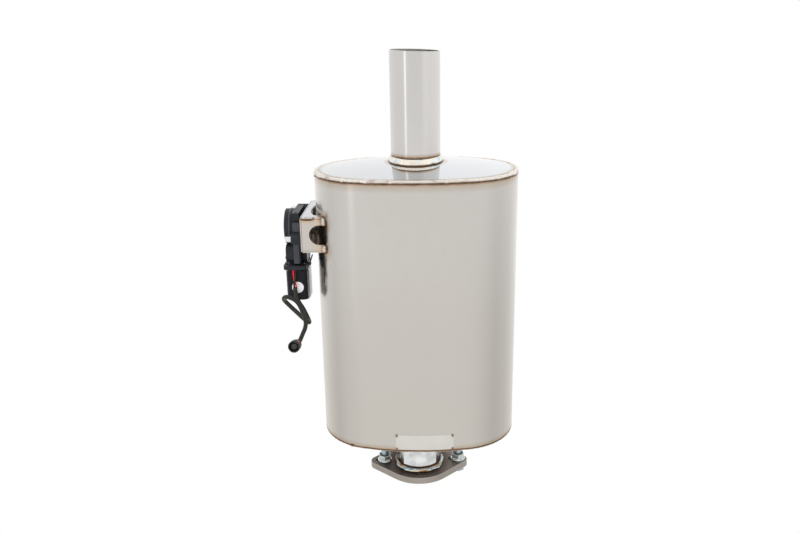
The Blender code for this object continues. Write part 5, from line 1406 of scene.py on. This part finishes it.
def curved_patch(name, middle, radius, thickness, turn, heights, material, steps=40):
    """A thin sheet round a vertical axis: its section of (out, height) points at each angle."""
    low, high = heights
    lip = min(0.25 * thickness, 0.0001)
    section = ((0.0, low), (thickness - lip, low), (thickness, low + lip),
               (thickness, high - 0.90 * thickness), (0.10 * thickness, high), (0.0, high))
    circle = around(np.linspace(*turn, steps), (1.0, 0.0), (0.0, 1.0))
    columns = [at_height(middle + (radius + out) * circle, height) for out, height in section]
    return loft(name, np.stack(columns, axis=1), material, caps=True, sharp=SHEET_SHARP)


def add_spot_weld(angle, height, radius):
    """A shallow dome that holds the plate's corner."""
    ray = np.array([math.cos(angle), math.sin(angle), 0.0])
    level = (-math.sin(angle), math.cos(angle), 0.0)
    middle = np.array([0.0, SIDE_OFFSET, height]) + radius * ray
    circle = around(full_turn(TUBE_STEPS), level, (0.0, 0.0, 1.0))
    rings = dome_rings(middle, ray, circle, SPOT_RADIUS, SPOT_RISE, SPOT_SINK, 7)
    loft("spot_weld", rings, spot_steel, caps=True, sharp=BEAD_SHARP)


def add_label_plate():
    """The patch between the angles 3/2 pi + asin(x / radius) of the plate's two ends."""
    low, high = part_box("label_plate")
    middle = np.array([0.0, SIDE_OFFSET])
    radius = SIDE_RADIUS + LABEL_GAP
    ends = [1.5 * math.pi + math.asin(x / (radius + LABEL_THICKNESS)) for x in (low.x, high.x)]
    plate = curved_patch("maker_plate_blank", middle, radius, LABEL_THICKNESS, ends, (low.z, high.z),
                         label_steel)
    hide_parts("label_plate")
    for end in (0, 1):
        for height in (low.z + SPOT_INSET, high.z - SPOT_INSET):
            angle = ends[end] + (1 - 2 * end) * SPOT_INSET / radius
            add_spot_weld(angle, height, radius + LABEL_THICKNESS)


add_label_plate()
print("label plate added")

# %% [markdown]
# ## Stickers
# The neck and the motor each carry a plain paper label. Both are sheets with a thickness, not
# patches of colour, so that their edges show.

# %% Stickers
PAPER_GAP = 0.00005
PAPER_THICKNESS = 0.00012
NECK_STICKER_TURN = (-131.0, -40.0)
NECK_STICKER_HEIGHTS = (0.0170, 0.0410)
STICKER_RADIUS = 0.0077
STICKER_PLACE = (-0.1569, 0.2818)
STICKER_GAP = 0.00004
STICKER_STEPS = 48
STICKER_PROFILE = ((1.0, 0.0), (1.0, 0.00010), (0.96, 0.00014), (0.5, 0.00014))


def add_neck_sticker():
    """A paper label bent round the front of the neck."""
    turn = [math.radians(degrees) for degrees in NECK_STICKER_TURN]
    curved_patch("neck_sticker", np.zeros(2), PIPE_RADIUS + PAPER_GAP, PAPER_THICKNESS, turn,
                 NECK_STICKER_HEIGHTS, sticker_paper)


def add_motor_sticker():
    """A plain round sticker on the motor's flat front."""
    middle = np.array([STICKER_PLACE[0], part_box("motor_can")[0].y - STICKER_GAP, STICKER_PLACE[1]])
    circle = around(full_turn(STICKER_STEPS), (1.0, 0.0, 0.0), (0.0, 0.0, 1.0))
    rings = [middle - (0.0, out, 0.0) + share * STICKER_RADIUS * circle for share, out in STICKER_PROFILE]
    loft("motor_sticker", rings, sticker_paper, caps=True, sharp=SHEET_SHARP)


add_neck_sticker()
add_motor_sticker()
print("stickers added")

# %% [markdown]
# ## Ground
# The ground is a plain sheet just under the bolts' heads. The camera sees it as plain white, and
# it sends pale, even light back up at the part.

# %% Ground
FLOOR_HALF = 4.0
FLOOR_DROP = 0.0001
FLOOR_GREY = (0.82, 0.82, 0.82, 1.0)


def add_floor():
    """A square sheet. The steel mirrors the studio in its place."""
    level = cad_box[0][2] - FLOOR_DROP
    mesh = bpy.data.meshes.new("ground")
    corners = FLOOR_HALF * np.array([(-1, -1), (1, -1), (1, 1), (-1, 1)])
    mesh.from_pydata(at_height(corners, level).tolist(), [], [(0, 1, 2, 3)])
    floor = add_object("ground", mesh)
    graph = Graph(bpy.data.materials.new("ground_white"))
    seen = graph.node("ShaderNodeLightPath").outputs["Is Camera Ray"]
    plain = graph.node("ShaderNodeBsdfDiffuse", {"Color": FLOOR_GREY}).outputs[0]
    white = graph.node("ShaderNodeEmission", {"Color": (1.0, 1.0, 1.0, 1.0), "Strength": 1.0}).outputs[0]
    mixed = graph.node("ShaderNodeMixShader", {0: seen, 1: plain, 2: white}).outputs[0]
    graph.join(graph.tree.nodes["Material Output"].inputs["Surface"], mixed)
    mesh.materials.append(graph.owner)
    floor.visible_glossy = False


add_floor()
print("ground added")

# %% [markdown]
# ## Studio
# Polished steel shows what stands round it, so its look is made by the surroundings. The camera
# sees plain white, and the steel sees a white studio with a few soft, darker bands.

# %% Studio
UPPER_STOPS = (
    (-180, 0.99), (-165, 0.96), (-120, 0.97), (-87, 0.94), (-60, 0.92), (-20, 0.90), (28, 0.90),
    (42, 1.02), (50, 1.05), (92, 1.04), (122, 1.06), (150, 1.05), (165, 1.04), (180, 1.02),
)
LOWER_STOPS = (
    (-180, 1.00), (-130, 1.00), (-112, 0.90), (-89, 0.79), (-78, 0.86), (-65, 0.93), (-47, 0.92),
    (-36, 0.98), (-30, 1.00), (20, 0.99), (44, 0.91), (62, 0.83), (79, 0.745), (90, 0.76),
    (100, 0.80), (115, 0.83), (126, 0.91), (150, 0.99), (180, 1.00),
)
ELEVATION_STOPS = (
    (0.00, (0.93, 0.91, 0.87)),
    (0.27, (0.965, 0.952, 0.917)),
    (0.32, (0.98, 0.973, 0.958)),
    (0.37, (1.140, 1.148, 1.175)),
    (0.43, (1.035, 1.035, 1.035)),
    (1.00, (1.06, 1.07, 1.09)),
)
# A narrow bright strip that draws the highlight on the outlet pipe
STRIP_TURN = math.radians(-43.0)
STRIP_EDGES = (0.045, 0.075)
STRIP_LIGHT = (1.85, 1.87, 1.92)
BAND_LEVEL = -0.18


def compass(graph, turn, stops):
    """Half the brightness by compass direction, from (degrees from the front, value) pairs."""
    share = graph.span(turn, -math.pi, math.pi)
    return graph.ramp(share, [(0.5 + angle / 360.0, (0.5 * value,) * 3) for angle, value in stops])


def add_world():
    """Studio for the steel: brightness by compass direction times a tint by height.

    Rays that leave the pipe and the top plate go above BAND_LEVEL, those from the can below it.
    A ramp holds no value above 1, so the ramps hold halves, and the result is doubled.
    """
    world = bpy.data.worlds.new("studio")
    bpy.context.scene.world = world
    graph = Graph(world)
    x, y, z = (graph.axis(letter, "Generated") for letter in "XYZ")
    turn = graph.math("ARCTAN2", x, graph.times(y, -1.0))
    upward = graph.span(z, BAND_LEVEL - 0.02, BAND_LEVEL + 0.02)
    bands = graph.mix(upward, compass(graph, turn, LOWER_STOPS), compass(graph, turn, UPPER_STOPS))
    tint = graph.ramp(graph.span(z, -1.0, 1.0), ELEVATION_STOPS)
    offset = graph.math("ABSOLUTE", graph.minus(turn, STRIP_TURN))
    strip = graph.times(graph.span(offset, *STRIP_EDGES, 1.0, 0.0), upward)
    studio = graph.mix(1.0, bands, tint, "MULTIPLY")
    doubled = graph.mix(1.0, studio, (2.0, 2.0, 2.0), "MULTIPLY")
    lit = graph.mix(strip, doubled, STRIP_LIGHT)
    seen = graph.node("ShaderNodeLightPath").outputs["Is Camera Ray"]
    final = graph.mix(seen, lit, (1.0, 1.0, 1.0))
    graph.join(graph.tree.nodes["Background"].inputs["Color"], final)


add_world()
print("studio ready")

# %% [markdown]
# ## Softboxes
# Two large soft lamps give the round forms their shade. The Standard view shows each colour about
# as it is written.

# %% Softboxes
SOFTBOX_SIZE = 0.8
SOFTBOX_AIM = (0.0, 0.0, 0.3)


def add_softbox(name, place, power):
    """A square area light, aimed at the middle of the can. The steel doesn't reflect it."""
    data = bpy.data.lights.new(name, "AREA")
    data.size = SOFTBOX_SIZE
    data.energy = power
    light = add_object(name, data)
    light.location = place
    light.rotation_euler = (Vector(SOFTBOX_AIM) - Vector(place)).to_track_quat("-Z", "Y").to_euler()
    light.visible_glossy = False


add_softbox("left_softbox", (-1.1, -0.9, 1.2), 5.0)
add_softbox("right_softbox", (1.2, -0.7, 1.0), 3.0)
bpy.context.scene.view_settings.view_transform = "Standard"
print("softboxes added")

# %% Finish
print("finished")
